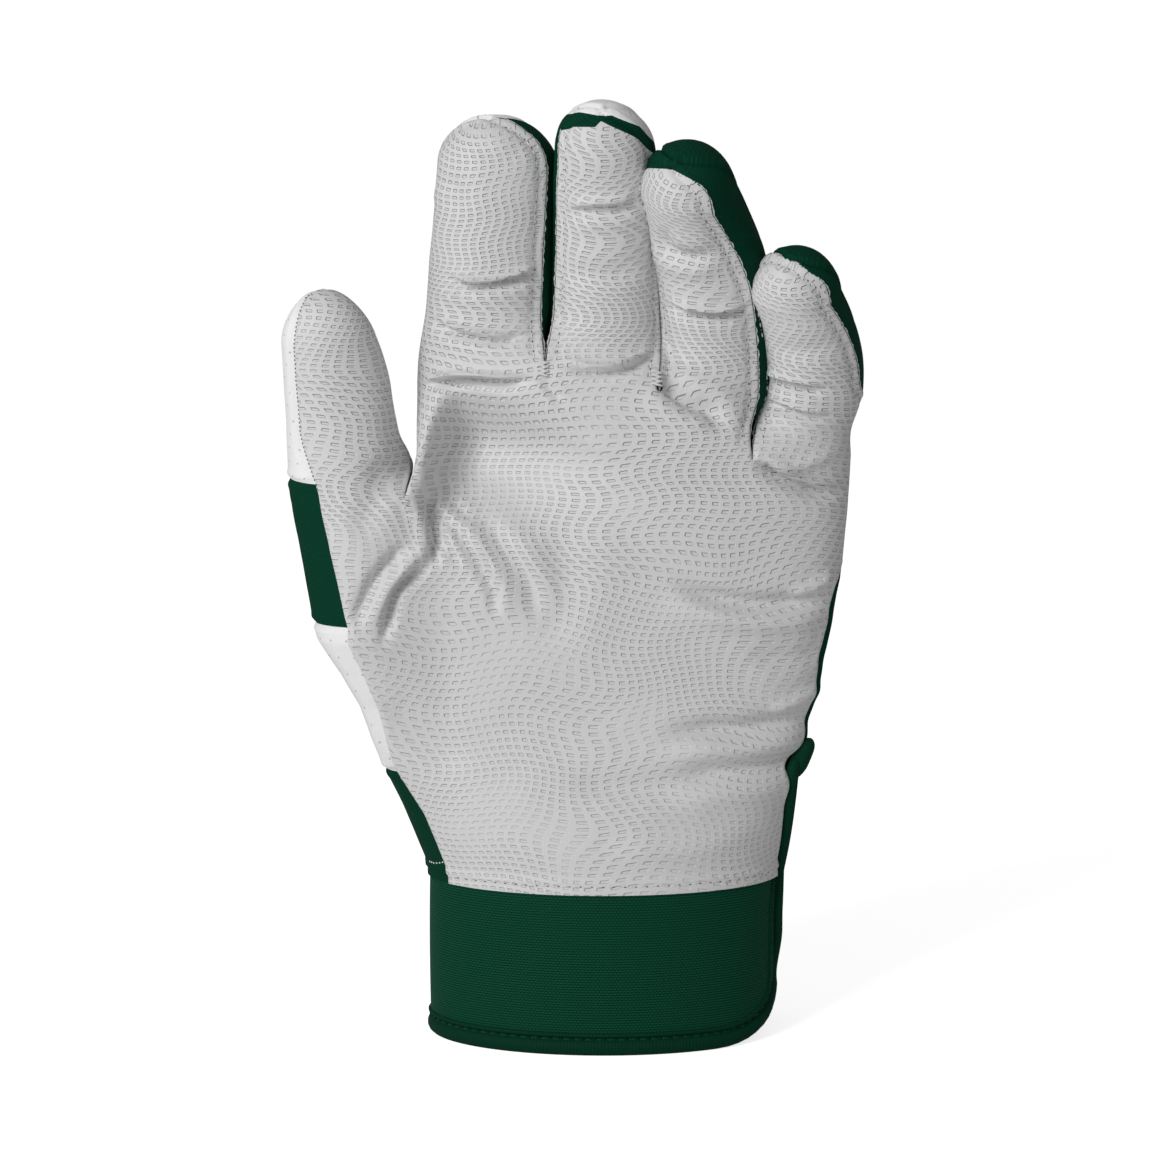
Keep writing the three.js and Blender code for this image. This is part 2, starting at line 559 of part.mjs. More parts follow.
addMesh("loop_patch",
  wristBand(patchStart, STRAP_END_DEG, PATCH_THICKNESS + FIT_GAP, PATCH_THICKNESS, PATCH_HEIGHT), HOOK_AND_LOOP)
  .position.z = patchLow;
addMesh("hook_patch",
  wristBand(patchStart, STRAP_END_DEG, strapFloor - FIT_GAP, PATCH_THICKNESS, PATCH_HEIGHT), HOOK_AND_LOOP)
  .position.z = patchLow;
addMesh("closure_strap",
  wristBand(strapStart, STRAP_END_DEG, strapOff, STRAP_THICKNESS, STRAP_HEIGHT), NEOPRENE)
  .position.z = strapLow;
const tabStart = STRAP_END_DEG + degreesAlong(STRAP_END_DEG, FIT_GAP);
addMesh("strap_pull_tab",
  wristBand(tabStart, tabStart + PULL_TAB_REACH_DEG, strapFloor + STRAP_THICKNESS + PULL_TAB_PROUD,
    STRAP_THICKNESS + PULL_TAB_PROUD, STRAP_HEIGHT), MOULDED_RUBBER)
  .position.z = strapLow;

// Hinge lines run along X on the palm face of the skin, where a fold of the leather turns
function foldPoint(digit, h) {
  const k = DIGITS.indexOf(digit);
  const z = digitFrame(digit, h).centre.z;
  const { forward } = digitFrame(digit, h);
  const points = ["left", "front", "right"].flatMap((zone) =>
    Array.from({ length: COLUMNS[zone] + 1 }, (_, c) => skinPoint(k, zone, c / COLUMNS[zone], z, h)));
  return points.reduce((front, point) => (point.dot(forward) > front.dot(forward) ? point : front));
}

// The origin is the middle of the glove's outline on the plane of the hem
const box = new THREE.Box3().setFromObject(glove);
const origin = box.getCenter(new THREE.Vector3()).setZ(box.min.z);
glove.children.forEach((mesh) => mesh.position.sub(origin));
glove.userData.hinges = Object.fromEntries(DIGITS.map((digit) => {
  const straight = digit.hinge - digit.foot;
  return [digit.name, [straight, straight + digit.knuckle].map((h) => foldPoint(digit, h).sub(origin))];
}));

export default glove;
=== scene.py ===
# %% [markdown]
# Batting glove, left hand
#
# The glove is a set of cut pieces of leather and stretch fabric, sewn edge to edge and filled out as on a
# hand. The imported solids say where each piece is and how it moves. This lesson lays one fine skin over the
# whole hand, presses the folds into it, and cuts every piece out of that skin, so neighbours share their
# seams exactly.

# %% Load the frame
import math
from types import SimpleNamespace

import bmesh
import bpy
import numpy as np
from mathutils import Matrix, Vector, noise
from mathutils.bvhtree import BVHTree


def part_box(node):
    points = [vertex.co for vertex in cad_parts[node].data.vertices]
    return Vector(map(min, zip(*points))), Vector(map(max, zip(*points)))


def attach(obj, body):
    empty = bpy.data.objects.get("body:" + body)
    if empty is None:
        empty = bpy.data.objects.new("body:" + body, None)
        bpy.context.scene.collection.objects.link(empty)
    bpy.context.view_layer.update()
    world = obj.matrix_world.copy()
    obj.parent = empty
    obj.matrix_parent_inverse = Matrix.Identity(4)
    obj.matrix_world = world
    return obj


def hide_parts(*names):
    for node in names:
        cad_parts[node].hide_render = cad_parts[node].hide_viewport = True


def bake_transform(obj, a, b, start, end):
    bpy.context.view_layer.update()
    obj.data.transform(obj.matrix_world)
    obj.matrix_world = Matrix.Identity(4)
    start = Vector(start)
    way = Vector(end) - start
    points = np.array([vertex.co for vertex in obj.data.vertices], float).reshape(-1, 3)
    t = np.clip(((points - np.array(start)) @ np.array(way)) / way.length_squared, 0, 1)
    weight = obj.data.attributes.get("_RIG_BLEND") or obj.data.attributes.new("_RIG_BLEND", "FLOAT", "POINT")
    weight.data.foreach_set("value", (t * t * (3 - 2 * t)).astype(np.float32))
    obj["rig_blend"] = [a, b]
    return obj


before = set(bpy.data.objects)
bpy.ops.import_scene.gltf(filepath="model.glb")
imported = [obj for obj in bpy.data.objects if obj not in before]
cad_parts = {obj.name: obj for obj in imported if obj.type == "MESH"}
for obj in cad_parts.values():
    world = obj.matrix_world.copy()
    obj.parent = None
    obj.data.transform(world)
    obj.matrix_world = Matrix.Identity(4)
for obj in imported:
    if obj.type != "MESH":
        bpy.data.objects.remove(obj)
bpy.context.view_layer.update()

# %% [markdown]
# The solids were drawn round the middle of the hem, in millimetres. The hem binding stands a little proud
# of the cuff on every side, so its box gives that middle back. All shapes below are worked out in
# millimetres from there, and moved to the frame's own metres when a piece is finished.

# %% The middle of the hem
MM = 0.001
CUFF_HALF_WIDTH = 42.0
CUFF_HALF_DEPTH = 25.0
HEM_PROUD = 0.7
hem_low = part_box("hem_binding")[0]
HEM_MIDDLE = Vector((
    hem_low.x / MM + CUFF_HALF_WIDTH + HEM_PROUD,
    hem_low.y / MM + CUFF_HALF_DEPTH + HEM_PROUD,
    0.0,
))
TO_FRAME = Matrix.Scale(MM, 4) @ Matrix.Translation(HEM_MIDDLE)
print("hem middle in mm", [round(v, 2) for v in HEM_MIDDLE])

# %% [markdown]
# The photograph is taken from a little above the palm. The arcs of the hem and of the seam over the cuff
# give a tilt of about eight degrees, and the glove's 225 mm fill 960 of the picture's 1155 pixels. The same
# numbers turn a point of the glove into a pixel, so the folds can be drawn where the photograph shows them.

# %% Camera
PHOTO_SIDE = 1155
MM_PER_PIXEL = 0.24
CAMERA_TILT = math.radians(8)
CAMERA_DISTANCE = 800.0
CAMERA_TARGET = Vector((-6.24, 0.0, 111.2))
SENSOR_WIDTH = 36.0
CLIP_START = 0.01
CLIP_END = 50.0

towards_camera = Vector((0.0, -math.cos(CAMERA_TILT), math.sin(CAMERA_TILT)))
camera = bpy.data.objects.new("camera", bpy.data.cameras.new("camera"))
camera.data.sensor_width = SENSOR_WIDTH
camera.data.lens = SENSOR_WIDTH * CAMERA_DISTANCE / (PHOTO_SIDE * MM_PER_PIXEL)
camera.location = TO_FRAME @ (CAMERA_TARGET + CAMERA_DISTANCE * towards_camera)
camera.rotation_euler = (math.pi / 2 - CAMERA_TILT, 0.0, 0.0)
camera.data.clip_start = CLIP_START
camera.data.clip_end = CLIP_END
bpy.context.scene.collection.objects.link(camera)
bpy.context.scene.camera = camera
print("lens in mm", round(camera.data.lens, 1))


def photo_pixels(points):
    """Pixels of the photograph, x to the right and y down, of points in millimetres from the hem's middle."""
    away = points - np.array(CAMERA_TARGET)
    depth = CAMERA_DISTANCE + away[:, 1] * math.cos(CAMERA_TILT) - away[:, 2] * math.sin(CAMERA_TILT)
    rise = away[:, 1] * math.sin(CAMERA_TILT) + away[:, 2] * math.cos(CAMERA_TILT)
    scale = MM_PER_PIXEL * depth / CAMERA_DISTANCE
    return np.stack([PHOTO_SIDE / 2 + away[:, 0] / scale, PHOTO_SIDE / 2 - rise / scale], axis=1)


# %% [markdown]
# The hand's sizes follow those of the solids, moved by a few millimetres where the photograph shows the
# leather elsewhere. What is new here is what only fabric does: a finger twists a little in its stitches,
# its back swells at the bent joint, and the palm leather stops short of the very fingertip, where the back
# piece wraps over it.

# %% Sizes of the hand
CUFF_TOP = 40.0
SLIT_TOP = 68.5
SLIT_BACK_DEG = 122.0
ULNAR_SEAM_DEG = 84.0
ULNAR_BACK_DEG = 105.0
PALM_FRONT_DEPTH = 18.0
PALM_BACK_DEPTH = 15.0
PALM_SQUARENESS = 2.5
PALM_RADIAL_SWELL = 2.4
INDEX_SIDE_SWELL = 0.7
PALM_ULNAR_SWELL = 2.6
KNUCKLE_CENTRE = 6.9
FINGER_GAP = 0.8
BASE_RISE = 16.0
WEB_HEIGHT = 132.0
CROTCHES = [WEB_HEIGHT, 161.0, 157.0, 141.0]
THUMB_FOOT = 120.0
HINGE_RISE = 4.0
WRIST_GUSSET_TOP = 66.0
THUMB_WEDGE_TOP = 102.0
THUMB_INSERT_TOP = 136.4
THUMB_WEB_GAP = 1.0
THUMB_FORWARD = 9.0
FINGER_DEPTH = 2.0
STRIP_SPREAD = [-0.52, -0.16, 0.18, 0.52]
THUMB_BACK_SEAM = math.radians(-128)
LEATHER_WALL = 1.1
print("crotches between the digits", CROTCHES, "mm up")

# %% [markdown]
# Each digit is a small table. The section at its foot is half_width by half_depth, and it narrows by its
# taper over its reach from foot to tip. It leans and bows sideways, and curls towards the palm above its
# foot. The angles of front and back say where its seams run round it, in degrees from the palm side.

# %% Sizes of the digits
DIGITS = [
    SimpleNamespace(
        name="thumb", half_width=13.6, half_depth=11.5, reach=62.0, tip=12.0, knuckle=26.0, taper=0.3,
        lean=-5.2, bow=0.0, curl=20.0, twist=0.0, tip_tilt=-20.0, swell=2.8, swell_span=(0.02, 0.62),
        front=(-45.0, 78.0), foot_front=(-24.0, 78.0), tip_front=(-45.0, 78.0), back=(118.0, -128.0)),
    SimpleNamespace(
        name="index", half_width=14.8, half_depth=12.0, reach=60.5, tip=12.0, knuckle=21.0, taper=0.12,
        lean=4.2, bow=0.0, curl=12.0, twist=0.0, tip_tilt=13.0, swell=1.4, swell_span=(0.12, 0.8),
        front=(-75.0, 54.0), foot_front=(-75.0, 54.0), tip_front=(-75.0, 68.0), back=(116.0, -108.0)),
    SimpleNamespace(
        name="middle", half_width=12.8, half_depth=12.0, reach=69.5, tip=11.0, knuckle=23.0, taper=0.17,
        lean=-0.2, bow=0.0, curl=30.0, twist=0.0, tip_tilt=14.0, swell=1.9, swell_span=(0.05, 0.8),
        front=(-64.0, 72.0), foot_front=(-64.0, 72.0), tip_front=(-92.0, 78.0), back=(116.0, -116.0)),
    SimpleNamespace(
        name="ring", half_width=10.6, half_depth=11.8, reach=77.5, tip=11.0, knuckle=22.0, taper=0.0,
        lean=-7.5, bow=3.5, curl=44.0, twist=28.0, tip_tilt=24.0, swell=5.2, swell_span=(0.2, 0.55),
        front=(-76.0, 48.0), foot_front=(-76.0, 48.0), tip_front=(-108.0, 66.0), back=(108.0, -120.0)),
    SimpleNamespace(
        name="little", half_width=11.2, half_depth=10.8, reach=51.8, tip=11.0, knuckle=18.0, taper=0.08,
        lean=-6.2, bow=5.2, curl=38.0, twist=32.0, tip_tilt=20.0, swell=2.0, swell_span=(0.2, 0.3),
        front=(-78.0, 64.0), foot_front=(-78.0, 104.0), tip_front=(-108.0, 86.0), back=(106.0, -120.0)),
]
FINGERS = DIGITS[1:]
THUMB, INDEX, LITTLE = DIGITS[0], DIGITS[1], DIGITS[4]
print("widths at the foot", {digit.name: 2 * digit.half_width for digit in DIGITS}, "mm")

# %% [markdown]
# The four fingers stand side by side across the knuckles, and the thumb beside them, past the web. From
# that follow the heights where each digit leaves the hand, where it folds, and where its upper and lower
# pieces are parted.

# %% Where the digits stand
HAND_LEFT = [
    (CUFF_TOP, -CUFF_HALF_WIDTH), (58.0, -49.2), (70.0, -54.0), (82.0, -58.6), (90.0, -63.0),
    (98.0, -68.2), (105.0, -69.6), (120.0, -72.0), (132.0, -73.8),
]
knuckle_width = sum(2 * f.half_width for f in FINGERS) + 3 * FINGER_GAP
knuckle_left = KNUCKLE_CENTRE - knuckle_width / 2
knuckle_right = KNUCKLE_CENTRE + knuckle_width / 2
finger_edge = knuckle_left
for finger in FINGERS:
    finger.centre = finger_edge + finger.half_width
    finger_edge += 2 * finger.half_width + FINGER_GAP
palm_edge = knuckle_left - PALM_RADIAL_SWELL
web_x = palm_edge - THUMB_WEB_GAP / 2
THUMB.centre = palm_edge - THUMB_WEB_GAP - THUMB.half_width
strip_top = [web_x] + [f.centre - f.half_width - FINGER_GAP / 2 for f in FINGERS[1:]]

for k, digit in enumerate(DIGITS):
    digit.crotch_left = CROTCHES[max(k - 1, 1)] if k else THUMB_FOOT
    digit.crotch_right = CROTCHES[min(max(k, 1), 3)] if k else WEB_HEIGHT
    digit.foot = min(digit.crotch_left, digit.crotch_right)
    digit.fork = max(digit.crotch_left, digit.crotch_right) if k else THUMB_FOOT
    digit.hinge = digit.fork + HINGE_RISE
    digit.level_top = max(digit.hinge, digit.crotch_right)
    digit.depth = -FINGER_DEPTH if k else -THUMB_FORWARD
    digit.straight = digit.hinge - digit.foot
    digit.second = digit.straight + digit.knuckle
    digit.split = digit.straight + digit.knuckle / 2
    print(digit.name, "centre", round(digit.centre, 1), "hinge", digit.hinge)

# %% [markdown]
# A section of the hand is a squared ellipse that grows from the cuff to the knuckles. Each digit is a tube
# of elliptic sections on a line that rises straight and then curls towards the palm, closed by a rounded
# tip. The skin eases from the palm's form to the digit's over the foot of the digit. These are the formulas
# of the solids, here on whole arrays of points at once.


# %% Easing from one value to another
def lerp(a, b, share):
    return a + (b - a) * share


def share_of(value, low, high):
    return np.clip((value - low) / (high - low), 0.0, 1.0)


def ease(value, low=0.0, high=1.0):
    t = share_of(value, low, high)
    return t * t * (3 - 2 * t)


def signed_power(value, power):
    return np.sign(value) * np.abs(value) ** power


def swelling(value, low, high):
    return np.sin(np.pi * share_of(value, low, high))


# %% Sections of the palm
ELLIPSE = 2.0
ULNAR_FLARE = 0.35
WRIST_RISE = 45.0
THUMB_SIDE_START = 8.0


def section(z, with_thumb):
    right = share_of(z, CUFF_TOP, CROTCHES[3])
    hand_left = np.interp(z, *zip(*HAND_LEFT))
    palm_left = knuckle_left - INDEX_SIDE_SWELL * swelling(z, THUMB_FOOT, CROTCHES[1] + BASE_RISE)
    edge = lerp(CUFF_HALF_WIDTH, knuckle_right, right * (1 + ULNAR_FLARE - ULNAR_FLARE * right))
    edge = edge + PALM_ULNAR_SWELL * swelling(z, SLIT_TOP, CROTCHES[3] + BASE_RISE)
    start = hand_left if with_thumb else palm_left
    up = ease(z, CUFF_TOP, CUFF_TOP + WRIST_RISE)
    return SimpleNamespace(
        z=z, middle=(start + edge) / 2, half=(edge - start) / 2,
        front=lerp(CUFF_HALF_DEPTH, PALM_FRONT_DEPTH, up), back=lerp(CUFF_HALF_DEPTH, PALM_BACK_DEPTH, up),
        power=lerp(ELLIPSE, PALM_SQUARENESS, up), shift=up * THUMB_FORWARD if with_thumb else 0.0,
    )


def section_point(s, angle):
    x = s.middle + s.half * signed_power(np.sin(angle), 2 / s.power)
    cosine = signed_power(np.cos(angle), 2 / s.power)
    towards_thumb = ease((knuckle_left + THUMB_SIDE_START - x) / (2 * THUMB.half_width))
    y = -np.where(cosine > 0, s.front, s.back) * cosine - s.shift * towards_thumb
    return np.stack([x, y, np.broadcast_to(s.z, x.shape)], axis=-1)


def section_angle(s, x):
    return np.arcsin(signed_power(np.clip((x - s.middle) / s.half, -1, 1), s.power / 2))


def above_web(z):
    return ease(z, WEB_HEIGHT, WEB_HEIGHT + BASE_RISE)


def palm_point(x, z, front):
    ends = []
    for with_thumb in (True, False):
        s = section(z, with_thumb)
        angle = section_angle(s, x)
        ends.append(section_point(s, angle if front else np.pi - angle))
    return lerp(ends[0], ends[1], above_web(z)[..., None])


fork_section = section(np.array([CROTCHES[3]]), False)
print("palm at its lowest crotch", round(float(2 * fork_section.half[0]), 1), "mm wide")

# %% [markdown]
# The seams of the real palm are cut by eye to fit the hand, so each one here is a short list of heights in
# millimetres with the angle of the seam at that height, in degrees round the section from the palm side.

# %% Seams that run up the hand
ULNAR_WRAP_DEG = 17.0
ULNAR_WRAP_RISE = (110.0, 122.0)
SLIT_EDGE = [
    (0.0, 78.5), (30.0, 78.5), (CUFF_TOP, 83.0), (46.0, 81.0), (56.0, 75.0), (66.0, 70.0), (75.0, 80.0),
    (84.0, 76.5), (104.0, 76.5), (116.0, ULNAR_SEAM_DEG),
]
THUMB_SEAM = [
    (CUFF_TOP, -62.0), (56.0, -62.5), (67.0, -69.0), (80.0, -64.0),
    (THUMB_WEDGE_TOP, -56.0), (THUMB_FOOT, -59.0),
]


def thumb_seam(z):
    return np.radians(np.interp(z, *zip(*THUMB_SEAM)))


def slit_palm(z):
    """Angle of the palm leather's edge: trimmed back along the slit, and wrapped round the side above it."""
    wrap = ULNAR_WRAP_DEG * ease(z, *ULNAR_WRAP_RISE)
    return np.radians(np.interp(z, *zip(*SLIT_EDGE)) + wrap)


def slit_back(z):
    return np.radians(lerp(SLIT_BACK_DEG, ULNAR_BACK_DEG, share_of(z, CUFF_TOP, SLIT_TOP)))


print("slit at the cuff's top from", round(math.degrees(slit_palm(CUFF_TOP))), "to",
      round(math.degrees(slit_back(CUFF_TOP))), "degrees")

# %% [markdown]
# Six lines run up the hand and part it into five strips, one below each digit. A strip has a front, a back
# and a wall on either side, and every zone has its own formula for the undivided hand, because the leather
# wraps over the thumb's web on one side and round the edge of the hand on the other.


# %% Strips of the hand
def ulnar_point(z, angle):
    whole, alone = (section_point(section(z, with_thumb), angle) for with_thumb in (True, False))
    return lerp(whole, alone, above_web(z)[..., None])


def strip_line(line, z, front):
    """x of one of the six lines that part the hand into five strips, on the front or on the back. The last
    line is only asked for on the back."""
    if line == 0:
        angle = thumb_seam(z) if front else np.full(z.shape, THUMB_BACK_SEAM)
        return section_point(section(z, True), angle)[..., 0]
    if line == 5:
        return ulnar_point(z, slit_back(z))[..., 0]
    rise = share_of(z, CUFF_TOP, CROTCHES[line - 1])
    x = lerp(STRIP_SPREAD[line - 1] * CUFF_HALF_WIDTH, strip_top[line - 1], rise)
    if line > 1:
        return x
    angle = math.radians(INDEX.front[0] if front else INDEX.back[1])
    return lerp(x, section_point(section(z, False), np.full(z.shape, angle))[..., 0], above_web(z))


def thumb_point(x, from_seam, z, front):
    """The thumb's strip keeps the whole hand's section above the web, and meets the palm only at the web."""
    whole = section(z, True)

    def place(value):
        angle = section_angle(whole, value)
        return section_point(whole, angle if front else np.pi - angle)

    web = strip_line(1, z, front)
    shift = palm_point(web, z, front) - place(web)
    return place(x) + shift * ease(from_seam)[..., None]


def little_point(share, z):
    """The outer strip of the palm is laid out by angle, because its leather wraps past the widest place."""
    ends = []
    for with_thumb in (True, False):
        s = section(z, with_thumb)
        ends.append(section_point(s, lerp(section_angle(s, strip_line(4, z, True)), slit_palm(z), share)))
    return lerp(ends[0], ends[1], above_web(z)[..., None])


back_lines = [strip_line(line, np.array([CUFF_TOP]), False)[0] for line in range(6)]
print("lines on the back at the cuff's top, x in mm", [round(float(x), 1) for x in back_lines])


# %% Walls and zones of a strip
def wall_form(line, travel, z):
    """The hand's form at the wall below one of the six lines, for shares of the way from palm to back."""
    if line == 0:
        return section_point(section(z, True), lerp(thumb_seam(z), THUMB_BACK_SEAM, travel))
    share = travel[..., None]
    back = palm_point(strip_line(line, z, False), z, False)
    if line == 5:
        first, last = slit_palm(z), slit_back(z)
        chord = lerp(ulnar_point(z, first), ulnar_point(z, last), share)
        return lerp(ulnar_point(z, first), back, share) + ulnar_point(z, lerp(first, last, travel)) - chord
    straight = lerp(palm_point(strip_line(line, z, True), z, True), back, share)
    if line > 1:
        return straight
    alone = section(z, False)
    first = section_angle(alone, strip_line(1, z, True))
    last = -np.pi - section_angle(alone, strip_line(1, z, False))
    chord = lerp(section_point(alone, first), section_point(alone, last), share)
    return straight + (section_point(alone, lerp(first, last, travel)) - chord) * above_web(z)[..., None]


def palm_form(k, zone, share, z):
    """The undivided hand's form at one zone of a strip, for shares of the way across the zone."""
    if k == 0 and zone == "front":
        return thumb_point(lerp(strip_line(0, z, True), strip_line(1, z, True), share), share, z, True)
    if k == 0 and zone == "back":
        return thumb_point(lerp(strip_line(1, z, False), strip_line(0, z, False), share), 1 - share, z, False)
    if k == 4 and zone == "front":
        return little_point(share, z)
    if zone == "front":
        return palm_point(lerp(strip_line(k, z, True), strip_line(k + 1, z, True), share), z, True)
    if zone == "back":
        return palm_point(lerp(strip_line(k + 1, z, False), strip_line(k, z, False), share), z, False)
    if zone == "right":
        return wall_form(k + 1, share, z)
    return wall_form(k, 1 - share, z)


# %% [markdown]
# A digit's seams turn about it: they swing out or in over its foot and again over its rounded tip, and the
# whole tube twists. So each point is found by its angle round the tube, and the tip is tilted as one.

# %% Tubes of the digits
FOOT_LEFT_RISE = (0.2, 0.5)
FOOT_RIGHT_RISE = (0.2, 0.36)
SWELL_SIDE = math.radians(25)
TWIST_POWER = 2.5


def digit_frame(digit, h):
    """Middle, forward and upward directions of a digit at a height h along it from its foot."""
    radius = (digit.reach - digit.straight) / math.radians(digit.curl)
    turn = np.maximum(h - digit.straight, 0) / radius
    share = h / digit.reach
    x = digit.centre + digit.lean * share + digit.bow * np.sin(np.pi * np.clip(share, 0, 1))
    y = digit.depth - radius * (1 - np.cos(turn))
    z = digit.foot + np.minimum(h, digit.straight) + radius * np.sin(turn)
    flat = np.zeros_like(turn)
    forward = np.stack([flat, -np.cos(turn), -np.sin(turn)], axis=-1)
    upward = np.stack([flat, -np.sin(turn), np.cos(turn)], axis=-1)
    return np.stack([x, y, z], axis=-1), forward, upward


def digit_form(digit, zone, share, h):
    shoulder = digit.reach - digit.tip
    cap = share_of(h, shoulder, digit.reach)
    along = np.clip(h / digit.reach, 0, 1)
    left, right = (lerp(low, high, ease(cap)) for low, high in zip(digit.front, digit.tip_front))
    left = lerp(digit.foot_front[0], left, ease(along, *FOOT_LEFT_RISE))
    right = lerp(digit.foot_front[1], right, ease(along, *FOOT_RIGHT_RISE))
    around = {
        "front": (left, right),
        "right": (right, digit.back[0]),
        "back": (digit.back[0], 360 + digit.back[1]),
        "left": (360 + digit.back[1], 360 + left),
    }[zone]
    twist = np.radians(digit.twist) * along ** TWIST_POWER
    angle = np.radians(lerp(around[0], around[1], share)) - twist
    ring = np.sqrt(1 - cap * cap)
    side, ahead, up = ring * np.sin(angle), ring * np.cos(angle), cap
    lean_to = math.radians(sum(digit.front) / 2 - digit.twist)
    tilt = math.radians(digit.tip_tilt) * ease(cap)
    towards = side * math.sin(lean_to) + ahead * math.cos(lean_to)
    turned = towards * np.cos(tilt) + up * np.sin(tilt)
    up = up * np.cos(tilt) - towards * np.sin(tilt)
    side = side + (turned - towards) * math.sin(lean_to)
    ahead = ahead + (turned - towards) * math.cos(lean_to)
    size = 1 - digit.taper * along
    middle, forward, upward = digit_frame(digit, np.minimum(h, shoulder))
    point = middle + forward * (digit.half_depth * size * ahead)[..., None]
    point = point + upward * (digit.tip * up)[..., None]
    bulge = digit.swell * ease(along, 0, digit.swell_span[0]) * (1 - ease(along, digit.swell_span[1], 1))
    point[..., 0] += digit.half_width * size * side
    point[..., 0] += bulge * ring * ease(0.5 + 0.5 * np.sin(angle - SWELL_SIDE))
    return point


tips = {digit.name: digit_frame(digit, np.array([digit.reach]))[0][0, 2] for digit in DIGITS}
print("ends of the middle lines", {name: round(float(z), 1) for name, z in tips.items()}, "mm up")


# %% Skin of a strip
def skin_point(k, zone, share, z, h):
    """Skin of strip k, for arrays of shares across a zone, of heights z and of heights h along the digit."""
    digit = DIGITS[k]
    across = {
        "front": share,
        "right": np.ones_like(share),
        "back": 1 - share,
        "left": np.zeros_like(share),
    }[zone]
    crotch = lerp(digit.crotch_left, digit.crotch_right, across)
    parted = ease(z, crotch, crotch + BASE_RISE)[..., None]
    return lerp(palm_form(k, zone, share, z), digit_form(digit, zone, share, np.maximum(h, 0)), parted)


# %% [markdown]
# The skin is sampled about every half millimetre upwards and about every millimetre across, which is fine
# enough for a crease. Rows below the forks of the fingers are level and shared by all five strips. Above
# its fork each digit has rows of its own, and at the fingertip they are evenly spaced round the cap.

# %% Rows of the skin
TINY = 1e-6
ROW = 0.55
LEATHER_OVERLAP = 0.9
CAP_ROWS = 22
COLUMNS = {"front": 28, "right": 9, "back": 22, "left": 9}


def spaced(fixed, spacing):
    heights = [fixed[0]]
    for height in fixed[1:]:
        steps = max(1, round((height - heights[-1]) / spacing))
        if height - heights[-1] > TINY:
            heights.extend(np.linspace(heights[-1], height, steps + 1)[1:])
    return heights


seam_heights = [WRIST_GUSSET_TOP, SLIT_TOP, THUMB_WEDGE_TOP, *CROTCHES]
hinges = [digit.hinge for digit in DIGITS]
palm_levels = spaced(sorted([CUFF_TOP - LEATHER_OVERLAP, CUFF_TOP, *seam_heights, *hinges]), ROW)


def strip_rows(digit):
    """Heights z and heights along the digit h of the rows of one strip, from the cuff to the fingertip."""
    low = [(z, z - digit.foot) for z in palm_levels if z < digit.level_top - TINY]
    shoulder = digit.reach - digit.tip
    high = spaced([digit.level_top - digit.foot, digit.split, digit.second, shoulder], ROW)
    high += [shoulder + digit.tip * math.sin(math.pi / 2 * i / CAP_ROWS) for i in range(1, CAP_ROWS + 1)]
    levels = digit_frame(digit, np.array(high))[0][:, 2]
    rows = low + list(zip(levels, high))
    return np.array(rows)


for digit in DIGITS:
    digit.rows = strip_rows(digit)
print("rows", {digit.name: len(digit.rows) for digit in DIGITS})

# %% [markdown]
# Every vertex also gets a place on the flat leather, in millimetres: how far it is across the glove,
# measured along the surface, and how far up. The embossing and the weave follow these flat places, so they
# stay the size they are on the real hide wherever the skin bends.


# %% Flat places
def arc_lengths(points):
    steps = np.linalg.norm(np.diff(points, axis=1), axis=2)
    return np.concatenate([np.zeros((len(points), 1)), np.cumsum(steps, axis=1)], axis=1)


def zone_grid(k, zone):
    rows = DIGITS[k].rows
    z, h = rows[:, :1], rows[:, 1:]
    share = np.linspace(0, 1, COLUMNS[zone] + 1)[None, :]
    z, h, share = np.broadcast_arrays(z, h, share)
    return skin_point(k, zone, share, z, h)


grids = {(k, zone): zone_grid(k, zone) for k in range(5) for zone in COLUMNS}
arcs = {key: arc_lengths(points) for key, points in grids.items()}
widths = {key: arc[:, -1] for key, arc in arcs.items()}


def front_start(k):
    """Flat place of the left edge of a strip's front, row by row: laid side by side below the fork, and about
    the digit's own middle line above it."""
    below = DIGITS[k].rows[:, 0] <= DIGITS[k].fork + TINY
    count = int(below.sum())
    offset = np.zeros(count)
    for other in range(min(k, 3), max(k, 3)):
        known = np.interp(DIGITS[k].rows[:count, 0], DIGITS[other].rows[:, 0], widths[other, "front"])
        offset += known if k > 3 else -known
    middle = offset[-1] + widths[k, "front"][count - 1] / 2
    own = middle - widths[k, "front"][count:] / 2
    return np.concatenate([offset, own])


DIGIT_ROWS = 1.22
flats = {}
for k in range(5):
    start = front_start(k)
    across = {
        "front": start[:, None] + arcs[k, "front"],
        "right": (start + widths[k, "front"])[:, None] + arcs[k, "right"],
        "left": start[:, None] - (widths[k, "left"][:, None] - arcs[k, "left"]),
        "back": grids[k, "back"][:, :, 0],
    }
    level, along = DIGITS[k].rows.T
    beyond = along - DIGITS[k].straight
    up = np.where(beyond > 0, DIGITS[k].hinge + beyond * DIGIT_ROWS, level)
    for zone, u in across.items():
        flats[k, zone] = np.stack([u, np.broadcast_to(up[:, None], u.shape)], axis=-1)
fork_row = int(np.argmax(INDEX.rows[:, 0] >= INDEX.fork - TINY))
print("front of the index at its fork", round(float(widths[1, "front"][fork_row]), 1), "mm along the leather")

# %% [markdown]
# Where two pieces meet, the seam shapes them both. On the fingers the raw leather edge stands up beside a
# row of stitches pulled tight, and elsewhere the edges are turned in and leave a narrow groove. Both are
# worked out from the distance to the seam, in millimetres, before any fold is pressed in.

